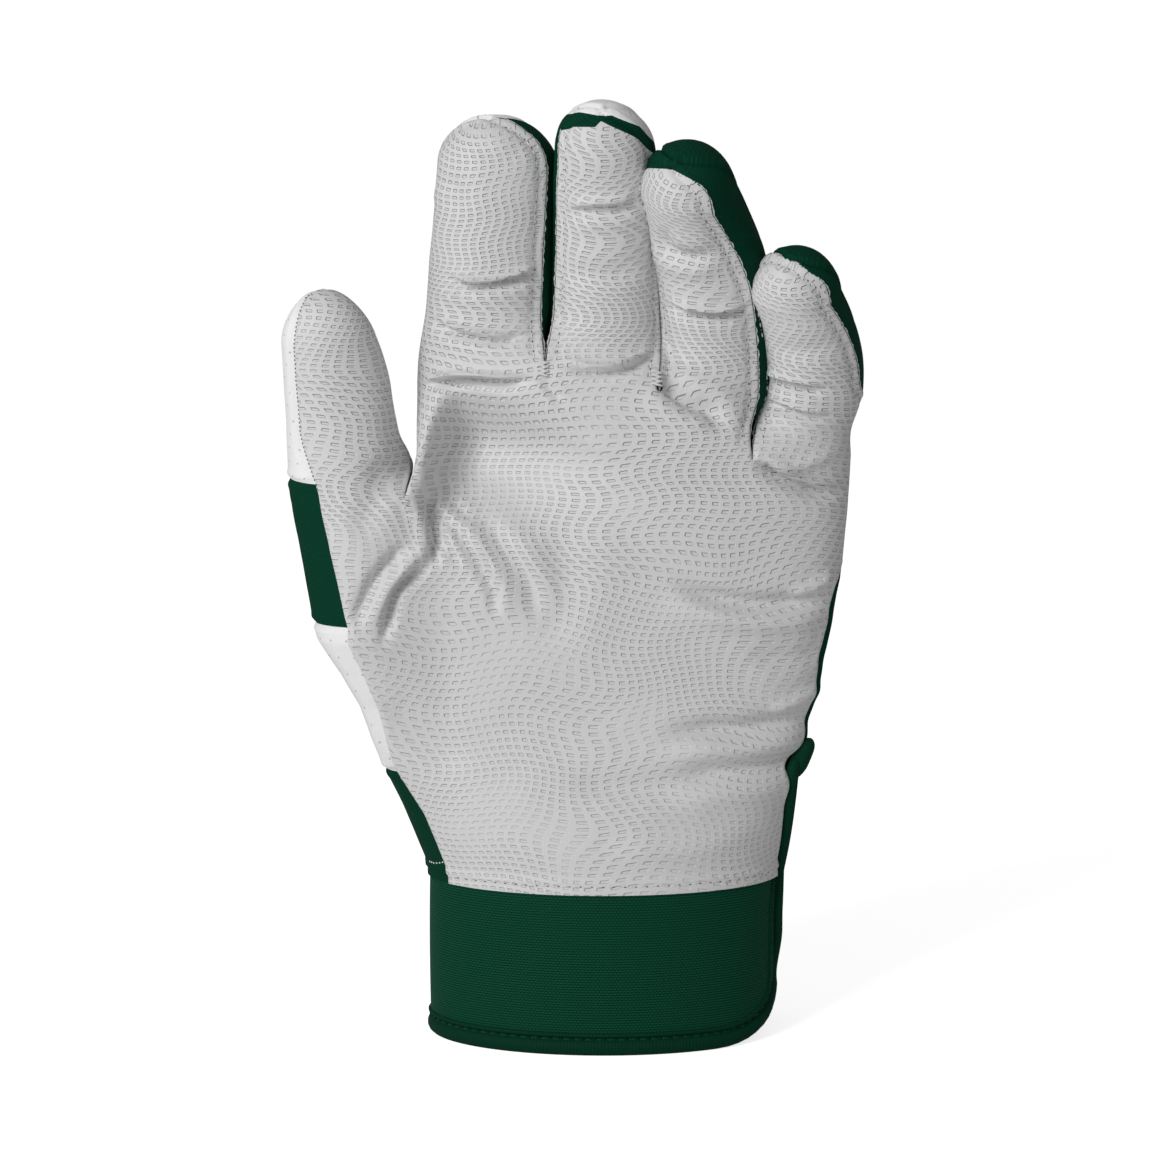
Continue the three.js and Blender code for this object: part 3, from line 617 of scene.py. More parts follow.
# %% Sizes of the seams
STITCH_INSET = 2.2
STITCH_GROOVE = SimpleNamespace(depth=0.5, width=0.65)
EDGE_LIFT = 0.22
EDGE_WIDTH = 1.4
WALL_EDGE_WIDTH = 0.9
TURNED_RIDGE = SimpleNamespace(height=0.2, place=1.5, width=0.8)
TURNED_GROOVE = SimpleNamespace(depth=0.6, width=0.55)
HEM_EDGE = SimpleNamespace(height=0.7, fall=(CUFF_TOP + 1.3, CUFF_TOP + 3.6))
HEM_GROOVE = SimpleNamespace(depth=0.35, place=0.9, width=0.45)
FLANGE_START = 1.0
LITTLE_FLANGE_START = 9.0
FLANGE_RISE = 6.0
FLANGE_SIDES = {1: ("right",), 2: ("left", "right"), 3: ("left", "right"), 4: ("left", "right")}
NEIGHBOURS = {
    "front": ("left", "right"),
    "right": ("front", "back"),
    "back": ("right", "left"),
    "left": ("back", "front"),
}
TURNED_EDGES = [(0, "front", "left"), (0, "right", "back"), (1, "left", "back")]
TURNED_EDGES += [(k, wall, "back") for k in (1, 2, 3, 4) for wall in ("left", "right")]
print("turned edges", len(TURNED_EDGES))


# %% Relief of the seams
def bell(distance, width):
    return np.exp(-((distance / width) ** 2))


def flange_share(k, side, z):
    """How far a finger's leather stands up as a raw edge: nothing at the fork, and all of it higher up."""
    crotch = DIGITS[k].crotch_left if side == "left" else DIGITS[k].crotch_right
    start = crotch + (LITTLE_FLANGE_START if (k, side) == (4, "right") else FLANGE_START)
    return ease(z, start, start + FLANGE_RISE)


def raw_edge(distance):
    edge = EDGE_LIFT * (1 - ease(distance, 0, EDGE_WIDTH))
    return edge - STITCH_GROOVE.depth * bell(distance - STITCH_INSET, STITCH_GROOVE.width)


def turned_edge(distance):
    ridge = TURNED_RIDGE.height * bell(distance - TURNED_RIDGE.place, TURNED_RIDGE.width)
    return ridge - TURNED_GROOVE.depth * bell(distance, TURNED_GROOVE.width)


def seam_lift(k, zone):
    z = DIGITS[k].rows[:, :1]
    arc = arcs[k, zone]
    to_left, to_right = arc, arc[:, -1:] - arc
    lift = np.zeros_like(arc)
    for side in FLANGE_SIDES.get(k, ()):
        share = flange_share(k, side, z)
        if zone == "front":
            lift += share * raw_edge(to_left if side == "left" else to_right)
        if zone == side:
            distance = to_right if side == "left" else to_left
            lift += share * EDGE_LIFT * (1 - ease(distance, 0, WALL_EDGE_WIDTH))
    for other, distance in zip(NEIGHBOURS[zone], (to_left, to_right)):
        for edge in TURNED_EDGES:
            if edge[0] == k and {zone, other} == set(edge[1:]):
                lift += turned_edge(distance)
    if k == 4 and zone in ("front", "right"):
        share = 1 - flange_share(4, "right", z)
        lift += share * turned_edge(to_right if zone == "front" else to_left)
    if (k, zone) == (0, "left"):
        for seam in (WRIST_GUSSET_TOP, THUMB_WEDGE_TOP, THUMB_INSERT_TOP):
            lift += turned_edge(np.abs(z - seam))
    hem_edge = HEM_EDGE.height * (1 - ease(z, *HEM_EDGE.fall))
    return lift + hem_edge - HEM_GROOVE.depth * bell(z - CUFF_TOP - HEM_GROOVE.place, HEM_GROOVE.width)


lifts = {key: seam_lift(*key) for key in grids}
print("lift of the seams from", round(min(v.min() for v in lifts.values()), 2), "to",
      round(max(v.max() for v in lifts.values()), 2), "mm")

# %% [markdown]
# The folds are what makes the palm read as leather on a hand. Each one is a line drawn on the
# photograph, in its pixels, with the depth and width of its valley in millimetres and the height of the
# lips that the pushed leather makes on either side. A negative depth is a ridge. A straight fold is a broad
# one, which moves the leather straight back or forward instead of along its normal. Noise alone would
# wrinkle the glove evenly, and real leather folds only where the hand bends it.

# %% Folds seen on the palm
LINE_STEPS = 40
FOLD_GAIN = 1.6
LIP_PLACE = 2.0
LIP_WIDTH = 1.3


def fold(points, depth, width, above=0.0, below=0.0, on=None, fade=0.3, width_below=None, straight=False):
    """One fold. Above is the side on the left of the line's own direction, and may fall more steeply."""
    return SimpleNamespace(
        points=points, depth=depth, widths=(width, width_below or width), above=above, below=below, on=on,
        fade=fade, straight=straight,
    )


FOLDS = [
    fold([(444, 272), (465, 284), (495, 283), (522, 276), (541, 267)], 1.6, 0.5, 1.3, 0.2, "index",
         width_below=1.5),
    fold([(428, 315), (450, 329), (474, 336), (500, 339), (531, 333)], 1.5, 0.5, 1.2, 0.2, "index",
         width_below=1.5),
    fold([(441, 285), (457, 293), (473, 300)], 0.7, 0.8, 0.2, 0.4, "index"),
    fold([(417, 387), (443, 380), (472, 379), (504, 381), (534, 380)], 2.0, 0.55, 1.7, 0.1, width_below=1.8),
    fold([(446, 172), (455, 195), (450, 214)], 0.5, 2.5, 0.2, 0.2, "index"),
    fold([(470, 150), (500, 158), (530, 150)], 0.3, 2.2, 0.1, 0.1, "index"),
    fold([(566, 212), (590, 210), (617, 208), (641, 202)], 1.2, 0.9, 0.8, 0.3, "middle", width_below=1.8),
    fold([(560, 270), (600, 276), (645, 268)], 0.4, 2.5, 0.2, 0.1, "middle"),
    fold([(562, 365), (595, 371), (628, 366), (656, 353)], 1.7, 0.5, 1.5, 0.1, width_below=1.4),
    fold([(541, 375), (551, 390), (566, 405)], 0.7, 1.0, 0.2, 0.2),
    fold([(665, 303), (690, 312), (722, 314), (752, 306)], 1.6, 0.5, 1.2, 0.2, "ring", width_below=1.6),
    fold([(662, 222), (668, 248), (690, 258), (722, 254)], 1.0, 1.6, 0.4, 0.5, "ring"),
    fold([(655, 374), (672, 390), (690, 402), (712, 412), (730, 440)], 1.9, 2.4, 0.5, 0.5),
    fold([(758, 375), (790, 384), (830, 391)], 1.4, 0.55, 1.0, 0.2, "little", width_below=1.6),
    fold([(764, 399), (795, 411), (832, 418)], 1.2, 0.5, 0.9, 0.2, "little", width_below=1.4),
    fold([(770, 345), (800, 352), (840, 345)], 0.3, 2.0, 0.1, 0.1, "little"),
    fold([(755, 456), (780, 474), (812, 488), (846, 493)], 2.3, 0.7, 1.2, 0.2, width_below=2.0),
    fold([(768, 464), (790, 467), (814, 461), (844, 448)], -0.6, 1.5),
    fold([(412, 540), (393, 560), (375, 581), (362, 607), (354, 632)], 1.5, 1.6),
    fold([(430, 543), (409, 563), (392, 583), (379, 606), (370, 632)], -1.1, 1.6),
    fold([(436, 558), (412, 578), (396, 594), (389, 622), (380, 655)], 1.7, 1.3),
    fold([(423, 490), (431, 512), (436, 542), (433, 572)], 2.6, 1.4, 0.0, 0.8, fade=0.35),
    fold([(436, 497), (455, 510), (472, 525)], 0.9, 1.0, 0.2, 0.2),
    fold([(434, 511), (452, 530), (468, 547)], 1.0, 1.0, 0.3, 0.2),
    fold([(436, 524), (448, 546), (460, 568)], 0.9, 1.0, 0.2, 0.3),
    fold([(432, 486), (446, 493), (462, 500)], 0.6, 0.9, 0.2, 0.2),
    fold([(446, 512), (470, 550), (492, 588), (496, 624)], 1.0, 1.3, 0.6, 0.2),
    fold([(464, 506), (502, 545), (530, 588), (537, 628)], 0.8, 2.2, 0.4, 0.1),
    fold([(440, 548), (447, 505), (453, 464), (462, 420), (474, 372)], 5.0, 4.6, fade=0.45, width_below=26.0,
         straight=True),
    fold([(462, 540), (470, 500), (478, 460), (488, 420), (502, 384)], 4.4, 9.0, fade=0.45, width_below=24.0,
         straight=True),
    fold([(412, 528), (415, 484), (420, 446), (430, 410), (446, 366)], -4.6, 8.0, on="index", fade=0.45,
         width_below=4.0, straight=True),
    fold([(394, 396), (404, 440), (412, 480), (426, 526)], 2.4, 5.0, on="thumb", fade=0.4, width_below=3.0,
         straight=True),
    fold([(398, 450), (374, 500), (352, 548)], 0.9, 4.0),
    fold([(836, 596), (806, 601), (775, 604), (744, 603), (703, 594), (664, 576)], 1.6, 2.2, 1.2, 0.2),
    fold([(840, 570), (812, 588), (786, 598)], -0.9, 1.6),
    fold([(822, 714), (784, 722), (744, 729), (703, 730), (650, 737)], 1.5, 2.4, 0.9, 0.2),
    fold([(826, 680), (795, 702), (766, 712)], -0.8, 1.6),
    fold([(812, 752), (770, 766), (720, 772), (655, 770)], 1.3, 2.6, 0.7, 0.0),
    fold([(830, 650), (790, 658), (742, 655)], 0.5, 2.4, 0.2, 0.1),
    fold([(556, 782), (621, 787), (682, 785), (745, 777)], 0.7, 3.0, 0.2, 0.2),
    fold([(600, 846), (680, 850), (765, 836)], -0.5, 3.0),
    fold([(378, 698), (420, 740), (474, 772)], 0.6, 4.0, 0.2, 0.2),
    fold([(548, 520), (562, 560), (557, 612), (540, 655)], 0.6, 5.0, 0.2, 0.2),
]
print(len(FOLDS), "folds")


# %% How a fold moves the leather
def smooth_line(points, steps=LINE_STEPS):
    """A smooth line through a few points, the same way a drawn stroke runs through them."""
    knots = np.array(points, float)
    ends = np.concatenate([[2 * knots[0] - knots[1]], knots, [2 * knots[-1] - knots[-2]]])
    place = np.linspace(0, len(knots) - 1, steps)
    i = np.minimum(place.astype(int), len(knots) - 2)
    t = (place - i)[:, None]
    a, b, c, d = (ends[i + j] for j in range(4))
    straight = 2 * b + (c - a) * t
    return 0.5 * (straight + (2 * a - 5 * b + 4 * c - d) * t ** 2 + (3 * b - a - 3 * c + d) * t ** 3)


def fold_lift(crease, pixels):
    """How far one fold moves the leather outwards at the given pixels, in millimetres."""
    line = smooth_line(crease.points)
    nearest = np.full(len(pixels), np.inf)
    side = np.zeros(len(pixels))
    along = np.zeros(len(pixels))
    for i in range(LINE_STEPS - 1):
        step = line[i + 1] - line[i]
        away = pixels - line[i]
        t = np.clip(away @ step / (step @ step), 0, 1)
        distance = np.linalg.norm(away - t[:, None] * step, axis=1)
        closer = distance < nearest
        nearest = np.where(closer, distance, nearest)
        side = np.where(closer, np.sign(away[:, 0] * step[1] - away[:, 1] * step[0]), side)
        along = np.where(closer, (i + t) / (LINE_STEPS - 1), along)
    off = side * nearest * MM_PER_PIXEL / np.where(side > 0, *crease.widths)
    lift = -crease.depth * np.exp(-(off ** 2))
    lift += crease.above * bell(off - LIP_PLACE, LIP_WIDTH) + crease.below * bell(off + LIP_PLACE, LIP_WIDTH)
    return lift * ease(along, 0, crease.fade) * (1 - ease(along, 1 - crease.fade, 1))


print("deepest fold", FOLD_GAIN * max(crease.depth for crease in FOLDS), "mm")

# %% [markdown]
# Now the skin itself. Each strip and zone is one grid, bent to its place. The grids are welded along their
# shared edges, so Blender works out normals that run smoothly from one piece to the next, and the seams and
# folds are pressed in along those normals.

# %% The skin
WELD = 0.02
ZONES = list(COLUMNS)
master = bmesh.new()
strip_tag = master.verts.layers.int.new("strip")
lift_tag = master.verts.layers.float.new("lift")
flange_tag = master.verts.layers.float.new("flange")
flat_place = master.loops.layers.uv.new("flat_mm")
face_rows = []


def lay_grid(k, zone):
    """Adds the grid of one zone to the skin, without the rows where the fingers are still joined."""
    digit = DIGITS[k]
    first = 0
    if (zone == "right" and k < 4) or (zone == "left" and k > 0):
        crotch = CROTCHES[k] if zone == "right" else CROTCHES[k - 1]
        first = int(np.argmax(digit.rows[:, 0] >= crotch - TINY))
    columns = COLUMNS[zone]
    rows = len(digit.rows) - 1 - first
    known = len(master.faces)
    made = bmesh.ops.create_grid(master, x_segments=columns, y_segments=rows, size=0.5)["verts"]
    spots = {}
    for i, v in enumerate(made):
        r, c = first + i // (columns + 1), i % (columns + 1)
        spots[v] = (r, c)
        v.co = grids[k, zone][r, c]
        v[strip_tag] = k
        v[lift_tag] = lifts[k, zone][r, c]
        edge = {0: "left", columns: "right"}.get(c) if zone == "front" else None
        if zone in ("left", "right") and c == (0 if zone == "right" else columns):
            edge = zone
        if edge in FLANGE_SIDES.get(k, ()):
            v[flange_tag] = float(flange_share(k, edge, digit.rows[r, 0]))
    master.faces.ensure_lookup_table()
    for i in range(known, len(master.faces)):
        r = first + (i - known) // columns
        share = ((i - known) % columns + 0.5) / columns
        z, h = digit.rows[r:r + 2].mean(axis=0)
        face_rows.append((k, ZONES.index(zone), z, h, share))
        for loop in master.faces[i].loops:
            loop[flat_place].uv = flats[k, zone][spots[loop.vert]]


for k, zone in grids:
    lay_grid(k, zone)
known_faces = len(master.faces)
row_tag = master.faces.layers.int.new("row")
master.faces.ensure_lookup_table()
for i, face in enumerate(master.faces):
    face[row_tag] = i
bmesh.ops.remove_doubles(master, verts=master.verts, dist=WELD)
bmesh.ops.dissolve_degenerate(master, dist=WELD / 4, edges=master.edges)
face_rows = np.array(face_rows)
print("skin:", len(master.verts), "vertices,", known_faces, "quads laid,", len(master.faces), "kept")

# %% [markdown]
# At three fingertips the palm leather stops short. On the middle finger a green band crosses there, and the
# white back piece wraps over it. On the other two the green back wraps over. These edges don't follow the
# grid, so the skin is sliced where lines, drawn on the photograph, are seen by the camera, and the slices
# are tagged for the pieces that they belong to.

# %% Slices of the fingertips
SLICE_MARGIN = 6
ON_PLANE = 1e-4
CAP_EDGE = [(530, 123), (556, 117), (580, 113), (612, 115), (640, 127), (672, 158)]
LEATHER_EDGES = {
    2: [(530, 144), (556, 133), (572, 127), (595, 127), (601, 121),
        (611, 126), (640, 139), (652, 152), (672, 176)],
    3: [(615, 186), (636, 174), (648, 168), (672, 169), (690, 179),
        (705, 191), (722, 212), (736, 240), (748, 275)],
    4: [(735, 282), (750, 263), (760, 253), (774, 249), (787, 256),
        (803, 268), (822, 281), (840, 306), (856, 350)],
}
CAP_SLICE = 1
TIP_SLICES = {2: 2, 3: 3, 4: 4}
camera_place = CAMERA_TARGET + CAMERA_DISTANCE * towards_camera
camera_up = Vector((0.0, math.sin(CAMERA_TILT), math.cos(CAMERA_TILT)))


def sight(pixel):
    """Direction in which the camera sees a pixel of the photograph."""
    right = (pixel[0] - PHOTO_SIDE / 2) * MM_PER_PIXEL
    rise = (PHOTO_SIDE / 2 - pixel[1]) * MM_PER_PIXEL
    return Vector((right, 0, 0)) + rise * camera_up - CAMERA_DISTANCE * towards_camera


def tip_faces(k):
    start = DIGITS[k].second
    return [f for f in master.faces if face_rows[f[row_tag], 0] == k and face_rows[f[row_tag], 3] > start]


def slice_along(k, line):
    for a, b in zip(line, line[1:]):
        faces = tip_faces(k)
        middles = photo_pixels(np.array([f.calc_center_median() for f in faces]))[:, 0]
        near = [f for f, x in zip(faces, middles) if a[0] - SLICE_MARGIN < x < b[0] + SLICE_MARGIN]
        parts = {part for f in near for part in (f, *f.edges, *f.verts)}
        across = sight(a).cross(sight(b))
        bmesh.ops.bisect_plane(
            master, geom=list(parts), dist=ON_PLANE, plane_co=camera_place, plane_no=across)


def height_of(line, x):
    return np.interp(x, [p[0] for p in line], [p[1] for p in line])


slice_tag = master.faces.layers.int.new("slice")
slice_along(2, CAP_EDGE)
for k, line in LEATHER_EDGES.items():
    slice_along(k, line)
    tip = tip_faces(k)
    for face, (x, y) in zip(tip, photo_pixels(np.array([f.calc_center_median() for f in tip]))):
        zone = ZONES[int(face_rows[face[row_tag], 1])]
        if k == 2 and y < height_of(CAP_EDGE, x):
            face[slice_tag] = CAP_SLICE
        elif y < height_of(line, x) and zone == "front":
            face[slice_tag] = TIP_SLICES[k]
    print(DIGITS[k].name, "faces above the leather", sum(f[slice_tag] > 0 for f in tip))

# %% [markdown]
# The skin is pressed after it is sliced, so a slice runs over the folds as a cut edge does. A fold fades
# out where the skin turns away from the camera, and two sizes of soft noise keep the leather between folds
# from looking moulded.

# %% Press in the seams and folds
FACING = (-0.35, 0.15)
SOFT_LUMPS = [(17.0, 0.3), (6.5, 0.1)]
LUMPS_RISE = (CUFF_TOP + 3, CUFF_TOP + 10)
master.normal_update()
places = np.array([v.co for v in master.verts])
normals = np.array([v.normal for v in master.verts])
strips = np.array([v[strip_tag] for v in master.verts])
lift = np.array([v[lift_tag] for v in master.verts])
pixels = photo_pixels(places)
facing = ease(-normals[:, 1], *FACING)
names = np.array([digit.name for digit in DIGITS])[strips]
towards_front = np.zeros(len(places))
for crease in FOLDS:
    touched = facing if crease.on is None else facing * (names == crease.on)
    moved = FOLD_GAIN * touched * fold_lift(crease, pixels)
    if crease.straight:
        towards_front += moved
    else:
        lift += moved
for size, height in SOFT_LUMPS:
    lumps = np.array([noise.noise(Vector(p) / size) for p in places])
    lift += height * lumps * ease(places[:, 2], *LUMPS_RISE)
pressed = places + normals * lift[:, None]
pressed[:, 1] -= towards_front
for v, p in zip(master.verts, pressed):
    v.co = p
master.normal_update()
normal_tag = master.verts.layers.float_vector.new("skin_normal")
for v in master.verts:
    v[normal_tag] = v.normal
skin_tree = BVHTree.FromBMesh(master)
print("pressed between", round(float(lift.min()), 2), "and", round(float(lift.max()), 2), "mm")

# %% [markdown]
# The materials. Every pattern is measured in millimetres on the flat places, and each colour is written as
# it looks in plain light, except for painted shade in the embossed boxes, the pinholes, the needle holes,
# the thumb's seam and between the loops of the knit and the ribs. Embossing, pinholes, knit and ribs are all
# grids of soft boxes, so one function draws them.


# %% Nodes and the grid of boxes
def linear(colour):
    """An sRGB colour such as #336699 as the linear red, green, blue and alpha that Blender works in."""
    parts = [int(colour[i:i + 2], 16) / 255 for i in (1, 3, 5)]
    return (*(p / 12.92 if p <= 0.04045 else ((p + 0.055) / 1.055) ** 2.4 for p in parts), 1.0)


def add(tree, kind, inputs, **settings):
    """Adds one node, with its settings, and with its inputs set to a value or linked to an output."""
    node = tree.nodes.new(kind)
    for name, value in settings.items():
        setattr(node, name, value)
    for name, value in inputs.items():
        if isinstance(value, bpy.types.NodeSocket):
            tree.links.new(value, node.inputs[name])
        else:
            node.inputs[name].default_value = value
    return node


def new_material(name, colour, roughness):
    made = bpy.data.materials.new(name)
    made.use_nodes = True
    shader = made.node_tree.nodes["Principled BSDF"]
    shader.inputs["Base Color"].default_value = linear(colour)
    shader.inputs["Roughness"].default_value = roughness
    return made, made.node_tree, shader


def spot_mask(tree, places, pitch, inner, outer, row_shift):
    """One on a box in the middle of every cell of a grid, and nought beyond the box's soft rim. The sizes are
    in millimetres, inner and outer as half a box's, and each row is shifted by a share of the pitch."""
    step = add(tree, "ShaderNodeVectorMath", {
        0: places, 1: (1 / pitch[0], 1 / pitch[1], 0)}, operation="MULTIPLY")
    parts = add(tree, "ShaderNodeSeparateXYZ", {0: step.outputs[0]})
    row = add(tree, "ShaderNodeMath", {0: parts.outputs[1]}, operation="FLOOR")
    slide = add(tree, "ShaderNodeMath", {
        0: row.outputs[0], 1: row_shift, 2: parts.outputs[0]}, operation="MULTIPLY_ADD")
    masks = []
    for value, size, low, high in zip((slide.outputs[0], parts.outputs[1]), pitch, inner, outer):
        part = add(tree, "ShaderNodeMath", {0: value}, operation="FRACT")
        off = add(tree, "ShaderNodeMath", {0: part.outputs[0], 1: 0.5}, operation="SUBTRACT")
        away = add(tree, "ShaderNodeMath", {0: off.outputs[0]}, operation="ABSOLUTE")
        masks.append(add(tree, "ShaderNodeMapRange", {
            "Value": away.outputs[0], "From Min": low / size, "From Max": high / size,
            "To Min": 1.0, "To Max": 0.0,
        }, interpolation_type="SMOOTHSTEP").outputs[0])
    return add(tree, "ShaderNodeMath", {0: masks[0], 1: masks[1]}, operation="MULTIPLY").outputs[0]


# %% [markdown]
# The palm is a pale hide, hot-pressed with small boxes in rows that wander like water. They are too shallow
# to change the outline, so a bump draws them, and each box gets a touch of painted shade. One slow noise
# moves the rows up and down, another sways them sideways in level bands, and a third lets the boxes fade
# in places, where the hide has been stretched.

# %% Embossed leather
EMBOSS_PITCH = (2.75, 1.7)
EMBOSS_FLOOR = (0.58, 0.18)
EMBOSS_RIM = (0.9, 0.45)
EMBOSS_DEPTH = 0.3 * MM
DRIFT_SIZE = 34.0
DRIFT = (0, 10, 0)
SWAY_BAND = (40.0, 15.0)
SWAY = (17, 0, 0)
FADE_SIZE = 22.0
FADE_RANGE = (0.32, 0.52)
FADE_LEAST = 0.55
DEEPER_HEIGHTS = (95.0, 150.0)
DEEPER_SHARES = (0.85, 1.35)
HIDE_GRAINS_PER_MM = 2.2
HIDE_GRAIN_DEPTH = 0.12 * MM
HIDE = "#D8D8D8"
# Painted shade: the colour inside each box, a touch darker than the hide.
PIT_PAINTED_SHADE = "#D6D6D6"
leather, tree, shader = new_material("embossed leather", HIDE, roughness=0.6)
flat = add(tree, "ShaderNodeUVMap", {}, uv_map="flat_mm").outputs[0]
drift = add(tree, "ShaderNodeTexNoise", {
    "Vector": flat, "Scale": 1 / DRIFT_SIZE, "Detail": 0.0}, noise_dimensions="2D")
drift = add(tree, "ShaderNodeVectorMath", {
    0: drift.outputs["Color"], 1: DRIFT, 2: flat}, operation="MULTIPLY_ADD")
bands = add(tree, "ShaderNodeVectorMath", {
    0: flat, 1: (1 / SWAY_BAND[0], 1 / SWAY_BAND[1], 0)}, operation="MULTIPLY")
sway = add(tree, "ShaderNodeTexNoise", {
    "Vector": bands.outputs[0], "Scale": 1.0, "Detail": 0.0}, noise_dimensions="2D")
wander = add(tree, "ShaderNodeVectorMath", {
    0: sway.outputs["Color"], 1: SWAY, 2: drift.outputs[0]}, operation="MULTIPLY_ADD")
boxes = spot_mask(tree, wander.outputs[0], EMBOSS_PITCH, EMBOSS_FLOOR, EMBOSS_RIM, 0.0)
patch = add(tree, "ShaderNodeTexNoise", {
    "Vector": flat, "Scale": 1 / FADE_SIZE, "Detail": 1.0}, noise_dimensions="2D")
strength = add(tree, "ShaderNodeMapRange", {
    "Value": patch.outputs[0], "From Min": FADE_RANGE[0], "From Max": FADE_RANGE[1], "To Min": FADE_LEAST})
height = add(tree, "ShaderNodeSeparateXYZ", {0: flat}).outputs[1]
depth = add(tree, "ShaderNodeMapRange", {
    "Value": height, "From Min": DEEPER_HEIGHTS[0], "From Max": DEEPER_HEIGHTS[1],
    "To Min": DEEPER_SHARES[0], "To Max": DEEPER_SHARES[1]}).outputs[0]
depth = add(tree, "ShaderNodeMath", {0: depth, 1: strength.outputs[0]}, operation="MULTIPLY").outputs[0]
pressed_in = add(tree, "ShaderNodeMath", {0: boxes, 1: depth}, operation="MULTIPLY").outputs[0]
grain = add(tree, "ShaderNodeTexNoise", {
    "Vector": flat, "Scale": HIDE_GRAINS_PER_MM, "Detail": 3.0}, noise_dimensions="2D")
fine = add(tree, "ShaderNodeBump", {
    "Strength": 0.35, "Distance": HIDE_GRAIN_DEPTH, "Height": grain.outputs[0]})
deep = add(tree, "ShaderNodeBump", {
    "Strength": 1.0, "Distance": EMBOSS_DEPTH, "Height": pressed_in, "Normal": fine.outputs[0]}, invert=True)
# Painted shade: the hide's colour is mixed towards the darker pit colour inside each box.
shade = add(tree, "ShaderNodeMix", {
    "Factor": pressed_in, "A": linear(HIDE), "B": linear(PIT_PAINTED_SHADE)}, data_type="RGBA")
tree.links.new(shade.outputs[2], shader.inputs["Base Color"])
tree.links.new(deep.outputs[0], shader.inputs["Normal"])
print("boxes to a square centimetre", round(100 / (EMBOSS_PITCH[0] * EMBOSS_PITCH[1])))

# %% [markdown]
# The wedge, the thumb's side and two fingers' backs are the same hide without the boxes, with punched
# pinholes that let the skin breathe. A hole through the mesh would cost many faces, so each is a grey dot
# of painted shade, for the shade inside the hole.

# %% Plain leather
PINHOLE_PITCH = (4.2, 4.2)
PINHOLE = (0.16, 0.16)
PINHOLE_RIM = (0.34, 0.34)
PLAIN_GRAINS_PER_MM = 1.6
PLAIN_GRAIN_DEPTH = 0.15 * MM
PLAIN_HIDE = "#F2F2F2"
# Painted shade: the grey of a pinhole, for the shade inside it.
PINHOLE_PAINTED_SHADE = "#BEBEBE"
plain_leather, tree, shader = new_material("plain leather", PLAIN_HIDE, roughness=0.6)
flat = add(tree, "ShaderNodeUVMap", {}, uv_map="flat_mm").outputs[0]
holes = spot_mask(tree, flat, PINHOLE_PITCH, PINHOLE, PINHOLE_RIM, 0.5)
grain = add(tree, "ShaderNodeTexNoise", {
    "Vector": flat, "Scale": PLAIN_GRAINS_PER_MM, "Detail": 4.0}, noise_dimensions="2D")
fine = add(tree, "ShaderNodeBump", {
    "Strength": 0.5, "Distance": PLAIN_GRAIN_DEPTH, "Height": grain.outputs[0]})
# Painted shade: the hide turns grey in every pinhole.
shade = add(tree, "ShaderNodeMix", {
    "Factor": holes, "A": linear(PLAIN_HIDE), "B": linear(PINHOLE_PAINTED_SHADE)}, data_type="RGBA")
tree.links.new(shade.outputs[2], shader.inputs["Base Color"])
tree.links.new(fine.outputs[0], shader.inputs["Normal"])
print("pinholes every", PINHOLE_PITCH[0], "mm")

# %% [markdown]
# The green parts are knitted. The stretch fabric is a fine, nearly matt knit in deep bottle green, with a
# faint nap. The cuff is thicker knitted neoprene with close level ribs and a soft sheen at its edges. The
# binding is a folded woven tape, ribbed across its length. All are drawn a little coarser than real yarn,
# so that they show.

# %% Stretch fabric
KNIT_DEPTH = 0.1 * MM
KNIT_PITCH = (0.7, 0.55)
KNIT_LOOP = (0.1, 0.05)
KNIT_RIM = (0.34, 0.27)
KNIT_SHADOW = "#083626"
KNIT_YARN = "#0B4230"
stretch, tree, shader = new_material("stretch fabric", KNIT_SHADOW, roughness=0.7)
shader.inputs["Specular IOR Level"].default_value = 0.03
flat = add(tree, "ShaderNodeUVMap", {}, uv_map="flat_mm").outputs[0]
knit = spot_mask(tree, flat, KNIT_PITCH, KNIT_LOOP, KNIT_RIM, 0.5)
fine = add(tree, "ShaderNodeBump", {"Strength": 0.6, "Distance": KNIT_DEPTH, "Height": knit})
shade = add(tree, "ShaderNodeMix", {
    "Factor": knit, "A": linear(KNIT_SHADOW), "B": linear(KNIT_YARN)}, data_type="RGBA")
tree.links.new(shade.outputs[2], shader.inputs["Base Color"])
tree.links.new(fine.outputs[0], shader.inputs["Normal"])
print("loops every", KNIT_PITCH[0], "mm")

# %% Knitted neoprene
RIB_PITCH = (0.9, 0.62)
RIB_CREST = (0.3, 0.05)
RIB_RIM = (0.45, 0.31)
RIB_SHADOW = "#052C1E"
RIB_YARN = "#105039"
neoprene, tree, shader = new_material("knitted neoprene", RIB_SHADOW, roughness=0.65)
shader.inputs["Specular IOR Level"].default_value = 0.04
shader.inputs["Sheen Weight"].default_value = 0.12
shader.inputs["Sheen Roughness"].default_value = 0.4
shader.inputs["Sheen Tint"].default_value = linear("#8FD0B4")
flat = add(tree, "ShaderNodeUVMap", {}, uv_map="flat_mm").outputs[0]
ribs = spot_mask(tree, flat, RIB_PITCH, RIB_CREST, RIB_RIM, 0.5)
fine = add(tree, "ShaderNodeBump", {"Strength": 0.5, "Distance": KNIT_DEPTH, "Height": ribs})
shade = add(tree, "ShaderNodeMix", {
    "Factor": ribs, "A": linear(RIB_SHADOW), "B": linear(RIB_YARN)}, data_type="RGBA")
tree.links.new(shade.outputs[2], shader.inputs["Base Color"])
tree.links.new(fine.outputs[0], shader.inputs["Normal"])
print("ribs every", RIB_PITCH[1], "mm")

